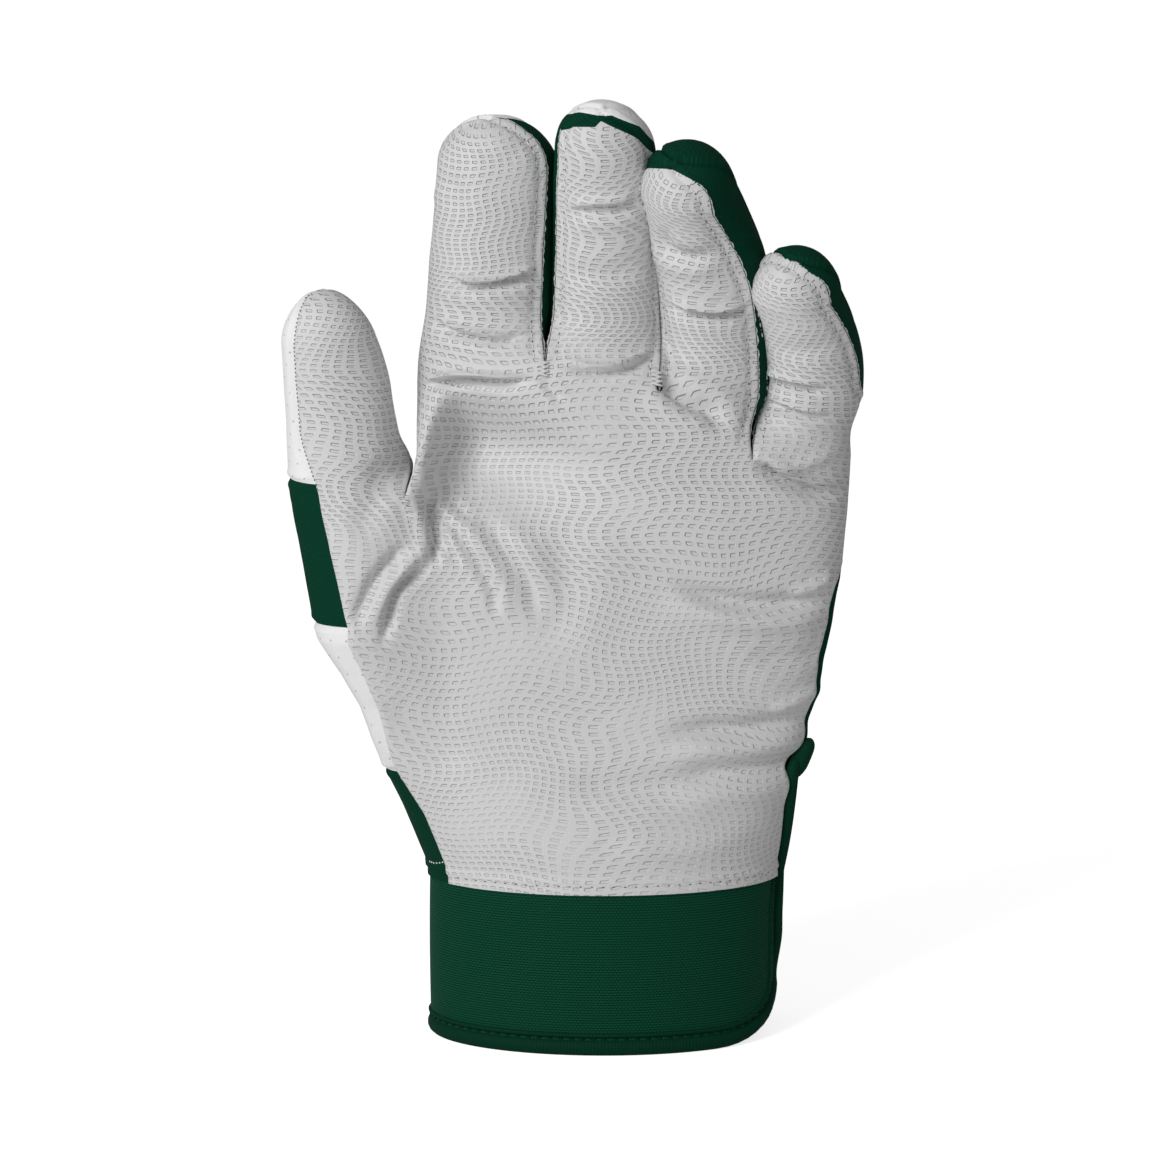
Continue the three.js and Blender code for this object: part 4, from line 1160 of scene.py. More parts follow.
# %% Binding tape
TAPE_RIB = (0.8, 40.0)
TAPE_RIB_CREST = (0.08, 20.0)
TAPE_RIB_RIM = (0.4, 21.0)
TAPE_RIB_DEPTH = 0.12 * MM
binding, tree, shader = new_material("binding tape", "#083626", roughness=0.6)
shader.inputs["Specular IOR Level"].default_value = 0.04
flat = add(tree, "ShaderNodeUVMap", {}, uv_map="flat_mm").outputs[0]
ribs = spot_mask(tree, flat, TAPE_RIB, TAPE_RIB_CREST, TAPE_RIB_RIM, 0.0)
fine = add(tree, "ShaderNodeBump", {"Strength": 0.6, "Distance": TAPE_RIB_DEPTH, "Height": ribs})
tree.links.new(fine.outputs[0], shader.inputs["Normal"])
print("ribs every", TAPE_RIB[0], "mm along the tape")

# %% [markdown]
# The small finishes. Thread is slightly shiny, white on the leather and green on the knit. The needle holes
# of the tight stitches and the valley of the thumb's seam are drawn as small dark grey pieces of painted
# shade. Hook-and-loop tape is matt and nearly black, with a rough face. The pull tab is moulded rubber,
# smooth with a soft highlight.

# %% Thread, tape and rubber
HOOKS_PER_M = 1800.0
HOOK_DEPTH = 0.4 * MM
white_thread = new_material("white thread", "#D8D8D8", roughness=0.6)[0]
green_thread, _, shader = new_material("green thread", "#083122", roughness=0.8)
shader.inputs["Specular IOR Level"].default_value = 0.03
# Painted shade: a dark grey for the shade in the needle holes and in the thumb's seam.
painted_shade_marks = new_material("needle hole", "#6A6A6A", roughness=0.9)[0]
hook_and_loop, tree, shader = new_material("hook and loop", "#10251C", roughness=0.95)
spots = add(tree, "ShaderNodeTexCoord", {}).outputs["Object"]
nap = add(tree, "ShaderNodeTexNoise", {"Vector": spots, "Scale": HOOKS_PER_M, "Detail": 2.0})
fine = add(tree, "ShaderNodeBump", {"Strength": 1.0, "Distance": HOOK_DEPTH, "Height": nap.outputs[0]})
tree.links.new(fine.outputs[0], shader.inputs["Normal"])
rubber = new_material("moulded rubber", "#0B3324", roughness=0.42)[0]
print("materials", len(bpy.data.materials))

# %% [markdown]
# A piece is cut by copying the skin and deleting the rest of it. The leather of a finger is cut a little
# larger than its seam, with an uneven edge, because the real edge is raw. Then the piece gets its thickness
# by extruding its faces, and it keeps the whole skin's normals, so the cuts inside one panel can't be seen.

# %% Raw edges of the leather
RAW_OVERHANG = 0.42
SCALLOP_SIZE = 1.0
SCALLOP_DEPTH = 1.4
lip_tag = master.verts.layers.float_vector.new("lip")
row_tag = master.faces.layers.int["row"]
flange_tag = master.verts.layers.float["flange"]
FRONT = ZONES.index("front")
for v in master.verts:
    fronts = [f.calc_center_median() for f in v.link_faces if face_rows[f[row_tag], 1] == FRONT]
    if v[flange_tag] > 0 and fronts:
        away = v.co - sum(fronts, Vector()) / len(fronts)
        away -= v.normal * away.dot(v.normal)
        uneven = 1 + SCALLOP_DEPTH * noise.noise(v.co / SCALLOP_SIZE)
        v[lip_tag] = away.normalized() * RAW_OVERHANG * v[flange_tag] * uneven
print("vertices on a raw edge", sum(v[lip_tag].length > 0 for v in master.verts))


# %% Cutting a piece out of the skin
def show(name, bm, material, body=None, replaced=(), slot=None, normals=None):
    """Moves a finished shape to the frame and makes it a piece, riding on a body if one is named."""
    bmesh.ops.transform(bm, matrix=TO_FRAME, verts=bm.verts)
    for face in bm.faces:
        face.smooth = True
    mesh = bpy.data.meshes.new(name)
    bm.to_mesh(mesh)
    bm.free()
    mesh.materials.append(material)
    if normals is not None:
        mesh.normals_split_custom_set(normals)
    piece = bpy.data.objects.new(name, mesh)
    bpy.context.scene.collection.objects.link(piece)
    if body:
        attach(piece, body)
    if replaced:
        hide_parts(*replaced)
    return piece


def thicken(bm, wall, inward):
    """Gives a sheet its thickness. The old vertices become the inner side and the new ones the outer side."""
    side = bm.verts.layers.int.new("outer")
    old = list(bm.verts)
    made = bmesh.ops.extrude_face_region(bm, geom=list(bm.faces), use_keep_orig=True)["geom"]
    for v in made:
        if isinstance(v, bmesh.types.BMVert):
            v[side] = 1
    for v in old:
        v.co += inward(v) * wall
    for edge in bm.edges:
        kinds = {sum(v[side] for v in f.verts) / len(f.verts) for f in edge.link_faces}
        edge.smooth = len(kinds) < 2
    return side


def cut(name, wanted, material, tip_slice=None, **facts):
    bm = master.copy()
    rows, slices = (bm.faces.layers.int[tag] for tag in ("row", "slice"))
    spare = [f for f in bm.faces if not (f[slices] == tip_slice if f[slices] else wanted[f[rows]])]
    bmesh.ops.delete(bm, geom=spare, context="FACES")
    lip, skin_normal = (bm.verts.layers.float_vector[tag] for tag in ("lip", "skin_normal"))
    if material is leather:
        for v in bm.verts:
            v.co += v[lip]
    side = thicken(bm, LEATHER_WALL, lambda v: -v[skin_normal])
    normals = []
    for face in bm.faces:
        outer = all(v[side] for v in face.verts)
        normals += [tuple(v[skin_normal]) if outer else (0.0, 0.0, 0.0) for v in face.verts]
    return show(name, bm, material, normals=normals, **facts)


# %% [markdown]
# The undivided hand is five pieces: the palm leather, the back, and three small panels at its sides. A
# piece is a choice of the skin's faces by strip, zone and height, so two neighbours can't overlap or leave
# a gap.

# %% Pieces of the hand
strip_of, zone_of, z_of, h_of, share_in = face_rows.T


def region(k, zones, low=-np.inf, high=np.inf, below=np.inf, above=-np.inf):
    """Faces of a strip's zones between two heights z, and between two heights h along the digit."""
    chosen = (strip_of == k) & np.isin(zone_of, [ZONES.index(zone) for zone in zones])
    return chosen & (z_of >= low) & (z_of < high) & (h_of < below) & (h_of >= above)


def together(*parts):
    return np.logical_or.reduce(parts)


def below_fork(zone):
    """Faces of the undivided hand. At the thumb the cut slants up from its outer seam to the web."""
    web_share = share_in if zone == "front" else 1 - share_in
    hand = [region(k, [zone], high=DIGITS[k].fork) for k in (1, 2, 3, 4)]
    return together(*hand, region(0, [zone]) & (z_of < lerp(THUMB_FOOT, WEB_HEIGHT, web_share)))


palm_faces = together(below_fork("front"), region(1, ["left"], high=INDEX.fork))
back_faces = below_fork("back")
cut("palm_leather", palm_faces, leather, body="hand", replaced=["palm_panel"], slot="leather")
cut("back_fabric", back_faces, stretch, body="hand", replaced=["back_panel"], slot="stretch_fabric")
cut("ulnar_side_fabric", region(4, ["right"], low=SLIT_TOP, high=LITTLE.fork), stretch,
    body="hand", replaced=["ulnar_side"], slot="stretch_fabric")
cut("wrist_gusset_fabric", region(0, ["left"], high=WRIST_GUSSET_TOP), stretch,
    body="hand", replaced=["wrist_gusset"], slot="stretch_fabric")
cut("thumb_wedge_leather", region(0, ["left"], low=WRIST_GUSSET_TOP, high=THUMB_WEDGE_TOP), plain_leather,
    body="hand", replaced=["thumb_wedge"], slot="leather")
print("palm faces", int(palm_faces.sum()), "back faces", int(back_faces.sum()))

# %% [markdown]
# Above the fork each digit bends twice. The lower pieces ease from the hand to the digit across its foot,
# and the upper pieces from the digit to its end across the knuckle, the way leather bends.

# %% Bends of the digits
FOLD_MARGIN = 2.0
THUMB_SEAM_OFFSET = 9.1
THUMB_CREASE_WIDTH = 4.2
THUMB_CREASE = Vector((web_x, 0.0, WEB_HEIGHT))
thumb_seam_x = THUMB.centre - THUMB_SEAM_OFFSET
THUMB_CREASE_UP = Vector((THUMB_FOOT - WEB_HEIGHT, 0.0, web_x - thumb_seam_x)).normalized()


def axis_place(digit, h):
    return TO_FRAME @ Vector(digit_frame(digit, np.array([float(h)]))[0][0])


def bend(piece, digit, upper):
    """Makes a piece follow the fold at the foot of its digit, or the one at the knuckle."""
    if upper:
        reach = digit.second - digit.split - FOLD_MARGIN
        ends = [axis_place(digit, digit.second - reach), axis_place(digit, digit.second + reach)]
        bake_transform(piece, digit.name, digit.name + "_end", start=ends[0], end=ends[1])
        return
    if digit is THUMB:
        ends = [TO_FRAME @ THUMB_CREASE, TO_FRAME @ (THUMB_CREASE + THUMB_CREASE_WIDTH * THUMB_CREASE_UP)]
    else:
        ends = [axis_place(digit, h) for h in (digit.fork - digit.foot, digit.split - FOLD_MARGIN)]
        ends[1].xy = ends[0].xy
    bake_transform(piece, "hand", digit.name, start=ends[0], end=ends[1])


print("thumb's fold leans", round(math.degrees(math.atan2(-THUMB_CREASE_UP.x, THUMB_CREASE_UP.z))), "degrees")

# %% Pieces of the digits
FORKED_WALLS = [(2, ("right",)), (3, ("right",))]
GUSSETS = {1: ["gusset_index_middle"], 2: ["gusset_middle_ring"], 3: ["gusset_ring_little"]}


def digit_piece(k, part, zones, material, upper, also=(), low=None, tip_slice=None):
    digit = DIGITS[k]
    if upper:
        chosen = region(k, zones, above=digit.split)
    else:
        start = digit.fork if low is None else low
        chosen = region(k, zones, low=start, below=digit.split) & ~palm_faces & ~back_faces
        if (k, zones) in FORKED_WALLS:
            chosen = region(k, zones, below=digit.split)
    node = f"{digit.name}_{'end' if upper else 'base'}_{part}"
    slot = "stretch_fabric" if material is stretch else "leather"
    piece = cut(node + "_look", chosen, material, tip_slice=tip_slice, replaced=[node, *also], slot=slot)
    bend(piece, digit, upper)
    return piece


insert = cut("thumb_insert_fabric", region(0, ["left"], low=THUMB_WEDGE_TOP, high=THUMB_INSERT_TOP), stretch,
             replaced=["thumb_insert_lower", "thumb_insert"], slot="stretch_fabric")
bend(insert, THUMB, False)
for upper in (False, True):
    digit_piece(0, "front", ("front", "right"), leather, upper)
    digit_piece(0, "back", ("back",), stretch, upper)
    digit_piece(0, "side", ("left",), plain_leather, upper, low=THUMB_INSERT_TOP)
    digit_piece(1, "front", ("front", "left"), leather, upper)
    digit_piece(1, "back", ("back",), plain_leather, upper)
    digit_piece(1, "ulnar_fourchette", ("right",), stretch, upper, also=() if upper else GUSSETS[1])
    for k in (2, 3, 4):
        gussets = () if upper else GUSSETS.get(k, ())
        back, over = (plain_leather, CAP_SLICE) if k == 2 else (stretch, TIP_SLICES[k])
        digit_piece(k, "front", ("front",), leather, upper)
        digit_piece(k, "back", ("back",), back, upper, tip_slice=over if upper else None)
        digit_piece(k, "radial_fourchette", ("left",), stretch, upper)
        digit_piece(k, "ulnar_fourchette", ("right",), stretch, upper, gussets,
                    tip_slice=TIP_SLICES[2] if upper and k == 2 else None)

# %% [markdown]
# Stitches. A row of white thread runs along each raw edge, sunk in the groove that its own tension makes,
# with a small dark ball of painted shade for the needle hole at the end of every stitch. Each stitch is a
# ball of a few faces, drawn out and turned to lie along its seam, because there are hundreds of them.

# %% One row of stitches
STITCH_PITCH = 2.6
STITCH_LENGTH = 1.5
STITCH_SINK = 0.1
THREAD_RADIUS = 0.24
HOLE_SIZE = (0.33, 0.22, 0.088)
STRAND_SIDES = 6
STRAND_RINGS = 5
HOLE_RINGS = 4
DIRECTION_REACH = 0.2


def on_skin(point):
    """The nearest place on the pressed skin, and the skin's direction there."""
    place, normal, _, _ = skin_tree.find_nearest(Vector(point))
    return place, normal


def evenly(points, pitch):
    """Places along a line at an even pitch, each with the line's direction."""
    points = np.array(points)
    lengths = np.concatenate([[0], np.cumsum(np.linalg.norm(np.diff(points, axis=0), axis=1))])
    spots = np.arange(pitch / 2, lengths[-1], pitch)

    def at(length):
        return np.stack([np.interp(length, lengths, points[:, i]) for i in range(3)], axis=1)

    ahead = at(np.minimum(spots + DIRECTION_REACH, lengths[-1])) - at(np.maximum(spots - DIRECTION_REACH, 0))
    return at(spots), ahead


def laid_on(direction, normal):
    return (direction - normal * direction.dot(normal)).normalized()


def strand(bm, at, along, normal, size, rings):
    """A small ball drawn out along a seam: a stitch, a dark mark of painted shade or a strand of a bar tack.
    """
    turn = Matrix((along, normal.cross(along), normal)).transposed().to_4x4()
    shape = Matrix.Translation(at) @ turn @ Matrix.Diagonal((*size, 1))
    bmesh.ops.create_uvsphere(bm, u_segments=STRAND_SIDES, v_segments=rings, radius=1, matrix=shape)


def sew(name, line, thread, place=on_skin, pitch=STITCH_PITCH, sink=STITCH_SINK, holes=True):
    """Pieces for one row of stitches and, if wanted, for the painted shade of their holes in the skin."""
    size = (STITCH_LENGTH / 2 * pitch / STITCH_PITCH, THREAD_RADIUS, THREAD_RADIUS)
    threads = bmesh.new()
    pits = bmesh.new() if holes else None
    for spot, ahead in zip(*evenly(line, pitch)):
        at, normal = place(spot)
        along = laid_on(Vector(ahead), normal)
        strand(threads, at - normal * sink, along, normal, size, STRAND_RINGS)
        if holes:
            # Painted shade: a small dark ball for the shade in the stitch's hole.
            strand(pits, on_skin(at + along * pitch / 2)[0], along, normal, HOLE_SIZE, HOLE_RINGS)
    made = [show(name, threads, thread)]
    if holes:
        made.append(show(name + "_holes", pits, painted_shade_marks))
    return made


# %% Rows along the raw edges of the fingers
SEWN_SHARE = 0.3
LEAST_INSETS = 3


def edge_line(k, side, inset, upper):
    """Points of the front of a digit at a distance from one of its side seams, below or above its knuckle."""
    digit, arc, grid = DIGITS[k], arcs[k, "front"], grids[k, "front"]
    line = []
    for r, (z, h) in enumerate(digit.rows):
        sewn = flange_share(k, side, z) > SEWN_SHARE and arc[r, -1] > LEAST_INSETS * inset
        if sewn and (h >= digit.split) == upper:
            where = inset if side == "left" else arc[r, -1] - inset
            point = np.array([[np.interp(where, arc[r], grid[r, :, i]) for i in range(3)]])
            x, y = photo_pixels(point)[0]
            if k not in LEATHER_EDGES or y > height_of(LEATHER_EDGES[k], x) + inset / MM_PER_PIXEL:
                line.append(point[0])
    return line


for k, sides in FLANGE_SIDES.items():
    for side in sides:
        for upper in (False, True):
            name = f"{DIGITS[k].name}_{side}_stitches_{'upper' if upper else 'lower'}"
            for piece in sew(name, edge_line(k, side, STITCH_INSET, upper), white_thread):
                bend(piece, DIGITS[k], upper)

# %% [markdown]
# Along the thumb's seam a close row of dark grey strands stands on the skin: painted shade of the seam's
# valley. A short row of white thread shows beside the wrist gusset.

# %% Seams of the thumb and the wrist gusset
THUMB_SEAM_START = THUMB_INSERT_TOP - 2.0
THUMB_SEAM_PITCH = 1.0
THUMB_SEAM_PROUD = 0.02
GUSSET_SEAM = [(429, 861), (434, 863), (439, 863), (444, 862)]
GUSSET_PITCH = 1.1
GUSSET_SINK = 0.05
for upper in (False, True):
    rows = [r for r, (z, h) in enumerate(THUMB.rows) if (h >= THUMB.split) == upper and z > THUMB_SEAM_START]
    seam_line = np.array([grids[0, "front"][r, 0] for r in rows])
    name = f"thumb_seam_{'upper' if upper else 'lower'}"
    # Painted shade: the dark strands stand for the shade in the thumb's seam.
    piece = sew(name, seam_line, painted_shade_marks, pitch=THUMB_SEAM_PITCH, sink=-THUMB_SEAM_PROUD, holes=False)[0]
    bend(piece, THUMB, upper)

gusset_line = [skin_tree.ray_cast(camera_place, sight(pixel))[0] for pixel in GUSSET_SEAM]
gusset_seam = sew(
    "wrist_gusset_seam", gusset_line, white_thread, pitch=GUSSET_PITCH, sink=GUSSET_SINK, holes=False)
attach(gusset_seam[0], "hand")

# %% [markdown]
# A bar tack is a dense zigzag of thread that keeps a crotch from tearing. Its strands lie where the camera
# sees them in the photograph, in front of the nearer of the two finger walls.

# %% Bar tacks
TACK_STRANDS = 7
TACK_PITCH = 0.5
TACK_EDGES = (-7, 7)
TACK_SIZE = (1.7, 0.32, 0.32)
TACK_SLANT = 0.3
TACK_PROUD = 0.2
TACKS = {"index_middle": (543, 362), "middle_ring": (657, 372)}
for name, (x, y) in TACKS.items():
    tack = bmesh.new()
    for i in range(TACK_STRANDS):
        seen_at = (x, y + i * TACK_PITCH / MM_PER_PIXEL)
        hits = [skin_tree.ray_cast(camera_place, sight((x + aside, seen_at[1]))) for aside in TACK_EDGES]
        _, normal, _, distance = min(hits, key=lambda hit: hit[3])
        at = camera_place + sight(seen_at).normalized() * distance
        towards = (normal + towards_camera).normalized()
        along = laid_on(Vector((1, 0, TACK_SLANT if i % 2 else -TACK_SLANT)), towards)
        strand(tack, at + towards * TACK_PROUD, along, towards, TACK_SIZE, STRAND_RINGS)
    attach(show(f"bar_tack_{name}", tack, white_thread), "hand")
print("bar tacks", len(TACKS))

# %% [markdown]
# The lower edge of the palm leather is turned in and sewn to the cuff. Its row of stitches follows the
# groove that was pressed there, across all five strips.

# %% Stitches along the palm's hem
HEM_FREE_POINTS = 2
hem_line = []
for k in range(5):
    level = DIGITS[k].rows[:, 0]
    r = int(np.argmin(np.abs(level - CUFF_TOP - HEM_GROOVE.place)))
    hem_line += list(grids[k, "front"][r, :-1])
for piece in sew("palm_hem_stitches", hem_line[HEM_FREE_POINTS:-HEM_FREE_POINTS], white_thread):
    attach(piece, "hand")

# %% [markdown]
# The cuff is one knitted band round the wrist, open at the slit on the little-finger side. Its lower
# corners are round, and one length of binding tape runs down one edge of the slit, along the hem and up the
# other edge. On the real glove a machine folds the tape over the raw edge as it sews, so here a rounded
# section is swept along the whole edge.

# %% Angles and lengths round the cuff
ANGLE_STEPS = 14400


def band_point(angle, out, z):
    angle, out, z = np.broadcast_arrays(angle, out, z)
    x = (CUFF_HALF_WIDTH + out) * np.sin(angle)
    y = -(CUFF_HALF_DEPTH + out) * np.cos(angle)
    return np.stack([x, y, z.astype(float)], axis=-1)


def band_outward(angle):
    n = np.stack([np.sin(angle) / CUFF_HALF_WIDTH, -np.cos(angle) / CUFF_HALF_DEPTH, 0 * angle], axis=-1)
    return n / np.linalg.norm(n, axis=-1, keepdims=True)


fine_angles = np.radians(np.linspace(-360, 360, ANGLE_STEPS + 1))
fine_steps = np.linalg.norm(np.diff(band_point(fine_angles, 0, 0), axis=0), axis=1)
fine_lengths = np.concatenate([[0], np.cumsum(fine_steps)])


def length_at(angle):
    return np.interp(angle, fine_angles, fine_lengths)


def angle_at(length):
    return np.interp(length, fine_lengths, fine_angles)


print("once round the cuff", round(float(fine_lengths[-1] / 2), 1), "mm")

# %% Cuff band
CUFF_WALL = 2.2
CUFF_UNDER_LEATHER = 42.6
CUFF_COLUMNS = 230
CUFF_ROWS = 44
HEM_MIDDLE_HEIGHT = 2.0
CORNER = 12.0
CORNER_LONG = 20.0
CUFF_SWELL = 0.25
CUFF_TUCK = 0.35
CUFF_TUCK_START = CUFF_TOP - 1.0
SLIT_START_DEG = SLIT_BACK_DEG - 360
cuff_start, cuff_end = length_at(np.radians([SLIT_START_DEG, SLIT_EDGE[0][1]]))


def cuff_angle(length, height):
    """Angle of a place on the band, whose end beside the slit follows the leather's edge."""
    palm_end = ease(length, cuff_end - CORNER_LONG, cuff_end)
    return angle_at(length) + palm_end * (slit_palm(height) - slit_palm(0.0))


def sheet(points, flat, wall, inward):
    """A closed slab from a grid of points, with the given flat places and thickness."""
    bm = bmesh.new()
    uv = bm.loops.layers.uv.new("flat_mm")
    inward_tag = bm.verts.layers.float_vector.new("inward")
    rows, columns = points.shape[0] - 1, points.shape[1] - 1
    made = bmesh.ops.create_grid(bm, x_segments=columns, y_segments=rows, size=0.5)["verts"]
    spots = {v: (i // (columns + 1), i % (columns + 1)) for i, v in enumerate(made)}
    for v in made:
        v.co = points[spots[v]]
        v[inward_tag] = inward[spots[v]]
    for face in bm.faces:
        for loop in face.loops:
            loop[uv].uv = flat[spots[loop.vert]]
    thicken(bm, wall, lambda v: v[inward_tag])
    return bm


along = np.linspace(cuff_start, cuff_end, CUFF_COLUMNS + 1)[None, :]
from_end = np.minimum(along - cuff_start, cuff_end - along)
into_corner = np.clip(1 - from_end / CORNER_LONG, 0, 1)
foot = HEM_MIDDLE_HEIGHT + CORNER * (1 - np.sqrt(1 - into_corner ** 2))
rise = np.linspace(0, 1, CUFF_ROWS + 1)[:, None]
height = lerp(foot, CUFF_UNDER_LEATHER, rise)
around = cuff_angle(along, height)
give = CUFF_SWELL * np.sin(np.pi * rise) - CUFF_TUCK * ease(height, CUFF_TUCK_START, CUFF_UNDER_LEATHER)
cuff_flat = np.stack(np.broadcast_arrays(along, height), axis=-1)
cuff = sheet(band_point(around, give, height), cuff_flat, CUFF_WALL, -band_outward(around))
show("cuff_band_knit", cuff, neoprene, "hand", ["cuff_band"], "neoprene")
print("cuff length in mm", round(float(cuff_end - cuff_start), 1))

# %% Path of the binding tape
TAPE_STEP = 0.8
SLIT_CENTRE = 1.1
SLIT_DEPTH = -0.4
HEM_DEPTH = 1.0
SLIT_TAIL = 2.5
SLIT_NARROWS = (8.0, 16.0)
CORNER_STEPS = 12
SMALL_TURN = 0.01


def slit_place(z, back):
    """A point on one edge of the slit with the outward direction and the direction into the slit."""
    z = np.array([float(z)])
    if z[0] < CUFF_TOP:
        edge = np.radians(np.array([float(SLIT_BACK_DEG)])) if back else slit_palm(z)
        place, into = band_point(edge, 0.0, z)[0], band_point(edge + SMALL_TURN, 0.0, z)[0]
    else:
        edge = slit_back(z) if back else slit_palm(z)
        place, into = ulnar_point(z, edge)[0], ulnar_point(z, edge + SMALL_TURN)[0]
    into = Vector(into - place).normalized() * (-1 if back else 1)
    outward = into.cross(Vector((0, 0, 1))) * (-1 if back else 1)
    return Vector(place), outward.normalized(), into


def slit_leg(back):
    """The tape up one edge of the slit: places, outward directions, and how far each has narrowed."""
    corner_top = HEM_MIDDLE_HEIGHT + CORNER
    items = []
    for z in np.arange(corner_top, SLIT_TOP + SLIT_TAIL, TAPE_STEP):
        place, outward, into = slit_place(z, back)
        depth = lerp(HEM_DEPTH, SLIT_DEPTH, ease(z, corner_top, HEM_MIDDLE_HEIGHT + 2 * CORNER))
        items.append((place + into * SLIT_CENTRE - outward * depth, outward, ease(z, *SLIT_NARROWS)))
    return items


def hem_run():
    """The tape round the corner on the back, along the hem, and round the corner on the palm side."""
    items = []
    turns = np.linspace(0, math.pi / 2, CORNER_STEPS)[1:-1]
    lengths = [cuff_start - SLIT_CENTRE + (CORNER_LONG + SLIT_CENTRE) * (1 - math.cos(t)) for t in turns]
    heights = [HEM_MIDDLE_HEIGHT + CORNER * (1 - math.sin(t)) for t in turns]
    hem = list(np.arange(cuff_start + CORNER_LONG, cuff_end - CORNER_LONG, TAPE_STEP))
    mirrored = [cuff_start + cuff_end - s for s in reversed(lengths)]
    for s, z in zip(lengths + hem + mirrored, heights + [HEM_MIDDLE_HEIGHT] * len(hem) + heights[::-1]):
        angle = np.array([angle_at(s)])
        place = band_point(angle, -HEM_DEPTH, np.array([z]))[0]
        items.append((Vector(place), Vector(band_outward(angle)[0]), 0.0))
    return items


tape_places, tape_outwards, up_slit = zip(*slit_leg(True)[::-1], *hem_run(), *slit_leg(False))
print("tape points", len(tape_places))

# %% Binding tape round the hem and the slit
TAPE_SIDES = 14
HEM_SECTION = (2.1, 1.85)
SLIT_SECTION = (1.5, 1.55)
ROUND_JOIN = 1e-4


def sweep(places, outwards, wide, deep, sides):
    """A closed tube along a line: wide across the surface, deep through it, with its flat places."""
    bm = bmesh.new()
    uv = bm.loops.layers.uv.new("flat_mm")
    count = len(places)
    made = bmesh.ops.create_grid(bm, x_segments=sides, y_segments=count - 1, size=0.5)["verts"]
    spots = {v: (i // (sides + 1), i % (sides + 1)) for i, v in enumerate(made)}
    walked = 0.0
    flat = {}
    for r in range(count):
        ahead = (places[min(r + 1, count - 1)] - places[max(r - 1, 0)]).normalized()
        across = outwards[r].cross(ahead).normalized()
        out = ahead.cross(across)
        if r:
            walked += (places[r] - places[r - 1]).length
        for c in range(sides + 1):
            angle = 2 * math.pi * c / sides
            at = places[r] + across * wide[r] * math.cos(angle) + out * deep[r] * math.sin(angle)
            made[r * (sides + 1) + c].co = at
            flat[r, c] = (walked, (wide[r] + deep[r]) / 2 * angle)
    for face in bm.faces:
        for loop in face.loops:
            loop[uv].uv = flat[spots[loop.vert]]
    bmesh.ops.remove_doubles(bm, verts=bm.verts, dist=ROUND_JOIN)
    bmesh.ops.holes_fill(bm, edges=[e for e in bm.edges if e.is_boundary], sides=sides + 2)
    bmesh.ops.recalc_face_normals(bm, faces=bm.faces)
    return bm


tape_wide, tape_deep = (lerp(hem, slit, np.array(up_slit)) for hem, slit in zip(HEM_SECTION, SLIT_SECTION))
tape = sweep(tape_places, tape_outwards, tape_wide, tape_deep, TAPE_SIDES)
show("edge_binding", tape, binding, "hand",
     ["hem_binding", "slit_binding_palm", "slit_binding_back"], "binding_tape")
print("tape", round(2 * float(max(tape_wide)), 1), "mm wide at the hem")

# %% [markdown]
# Inside the tape the knit is raised into a low round ridge, and a row of green stitches lies between the
# two. Both follow the cuff's edge at an even distance, so one line serves them.

# %% Ridge and stitches inside the tape
RIDGE_INSET = 3.1
RIDGE_RADIUS = 0.6
RIDGE_SIDES = 10
RIDGE_PROUD = 0.05
RIDGE_TOP = CUFF_TOP - 1.0
RIDGE_TURN_DEG = np.arange(4, 90, 4)
HEM_STITCH_INSET = 2.25
HEM_STITCH_PROUD = 0.35
HEM_STITCH_SINK = 0.15


def hem_path(inset):
    """A line along the hem, round its corner and up the slit, inside the edge, with outward directions."""
    turn = np.radians(RIDGE_TURN_DEG)
    wide, tall, centre = CORNER_LONG - inset, CORNER - inset, HEM_MIDDLE_HEIGHT + CORNER
    level = np.arange(cuff_start + CORNER_LONG, cuff_end - CORNER_LONG, TAPE_STEP)
    climb = np.arange(centre, RIDGE_TOP, TAPE_STEP)
    lengths = [
        cuff_start + CORNER_LONG - wide * np.cos(turn), level, cuff_end - CORNER_LONG + wide * np.sin(turn),
        np.full(len(climb), cuff_end - inset),
    ]
    heights = [
        centre - tall * np.sin(turn), np.full(len(level), HEM_MIDDLE_HEIGHT + inset),
        centre - tall * np.cos(turn), climb,
    ]
    angles = cuff_angle(np.concatenate(lengths), np.concatenate(heights))
    return band_point(angles, RIDGE_PROUD, np.concatenate(heights)), band_outward(angles)


ridge_places, ridge_outwards = ([Vector(v) for v in values] for values in hem_path(RIDGE_INSET))
ridge_sizes = np.full(len(ridge_places), RIDGE_RADIUS)
ridge = sweep(ridge_places, ridge_outwards, ridge_sizes, ridge_sizes, RIDGE_SIDES)
show("hem_ridge", ridge, binding, "hand", (), "binding_tape")


def on_cuff(point):
    angle = np.array([math.atan2(point[0] / CUFF_HALF_WIDTH, -point[1] / CUFF_HALF_DEPTH)])
    place = band_point(angle, HEM_STITCH_PROUD, np.array([point[2]]))[0]
    return Vector(place), Vector(band_outward(angle)[0])


hem_stitch_line = hem_path(HEM_STITCH_INSET)[0]
for piece in sew("hem_stitches", hem_stitch_line, green_thread, on_cuff, sink=HEM_STITCH_SINK, holes=False):
    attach(piece, "hand")
print("ridge points", len(ridge_places))

# %% [markdown]
# The tab at the head of the slit is a short length of the same tape, folded double and sewn down, so it is
# a flat loop with a crease along its middle.

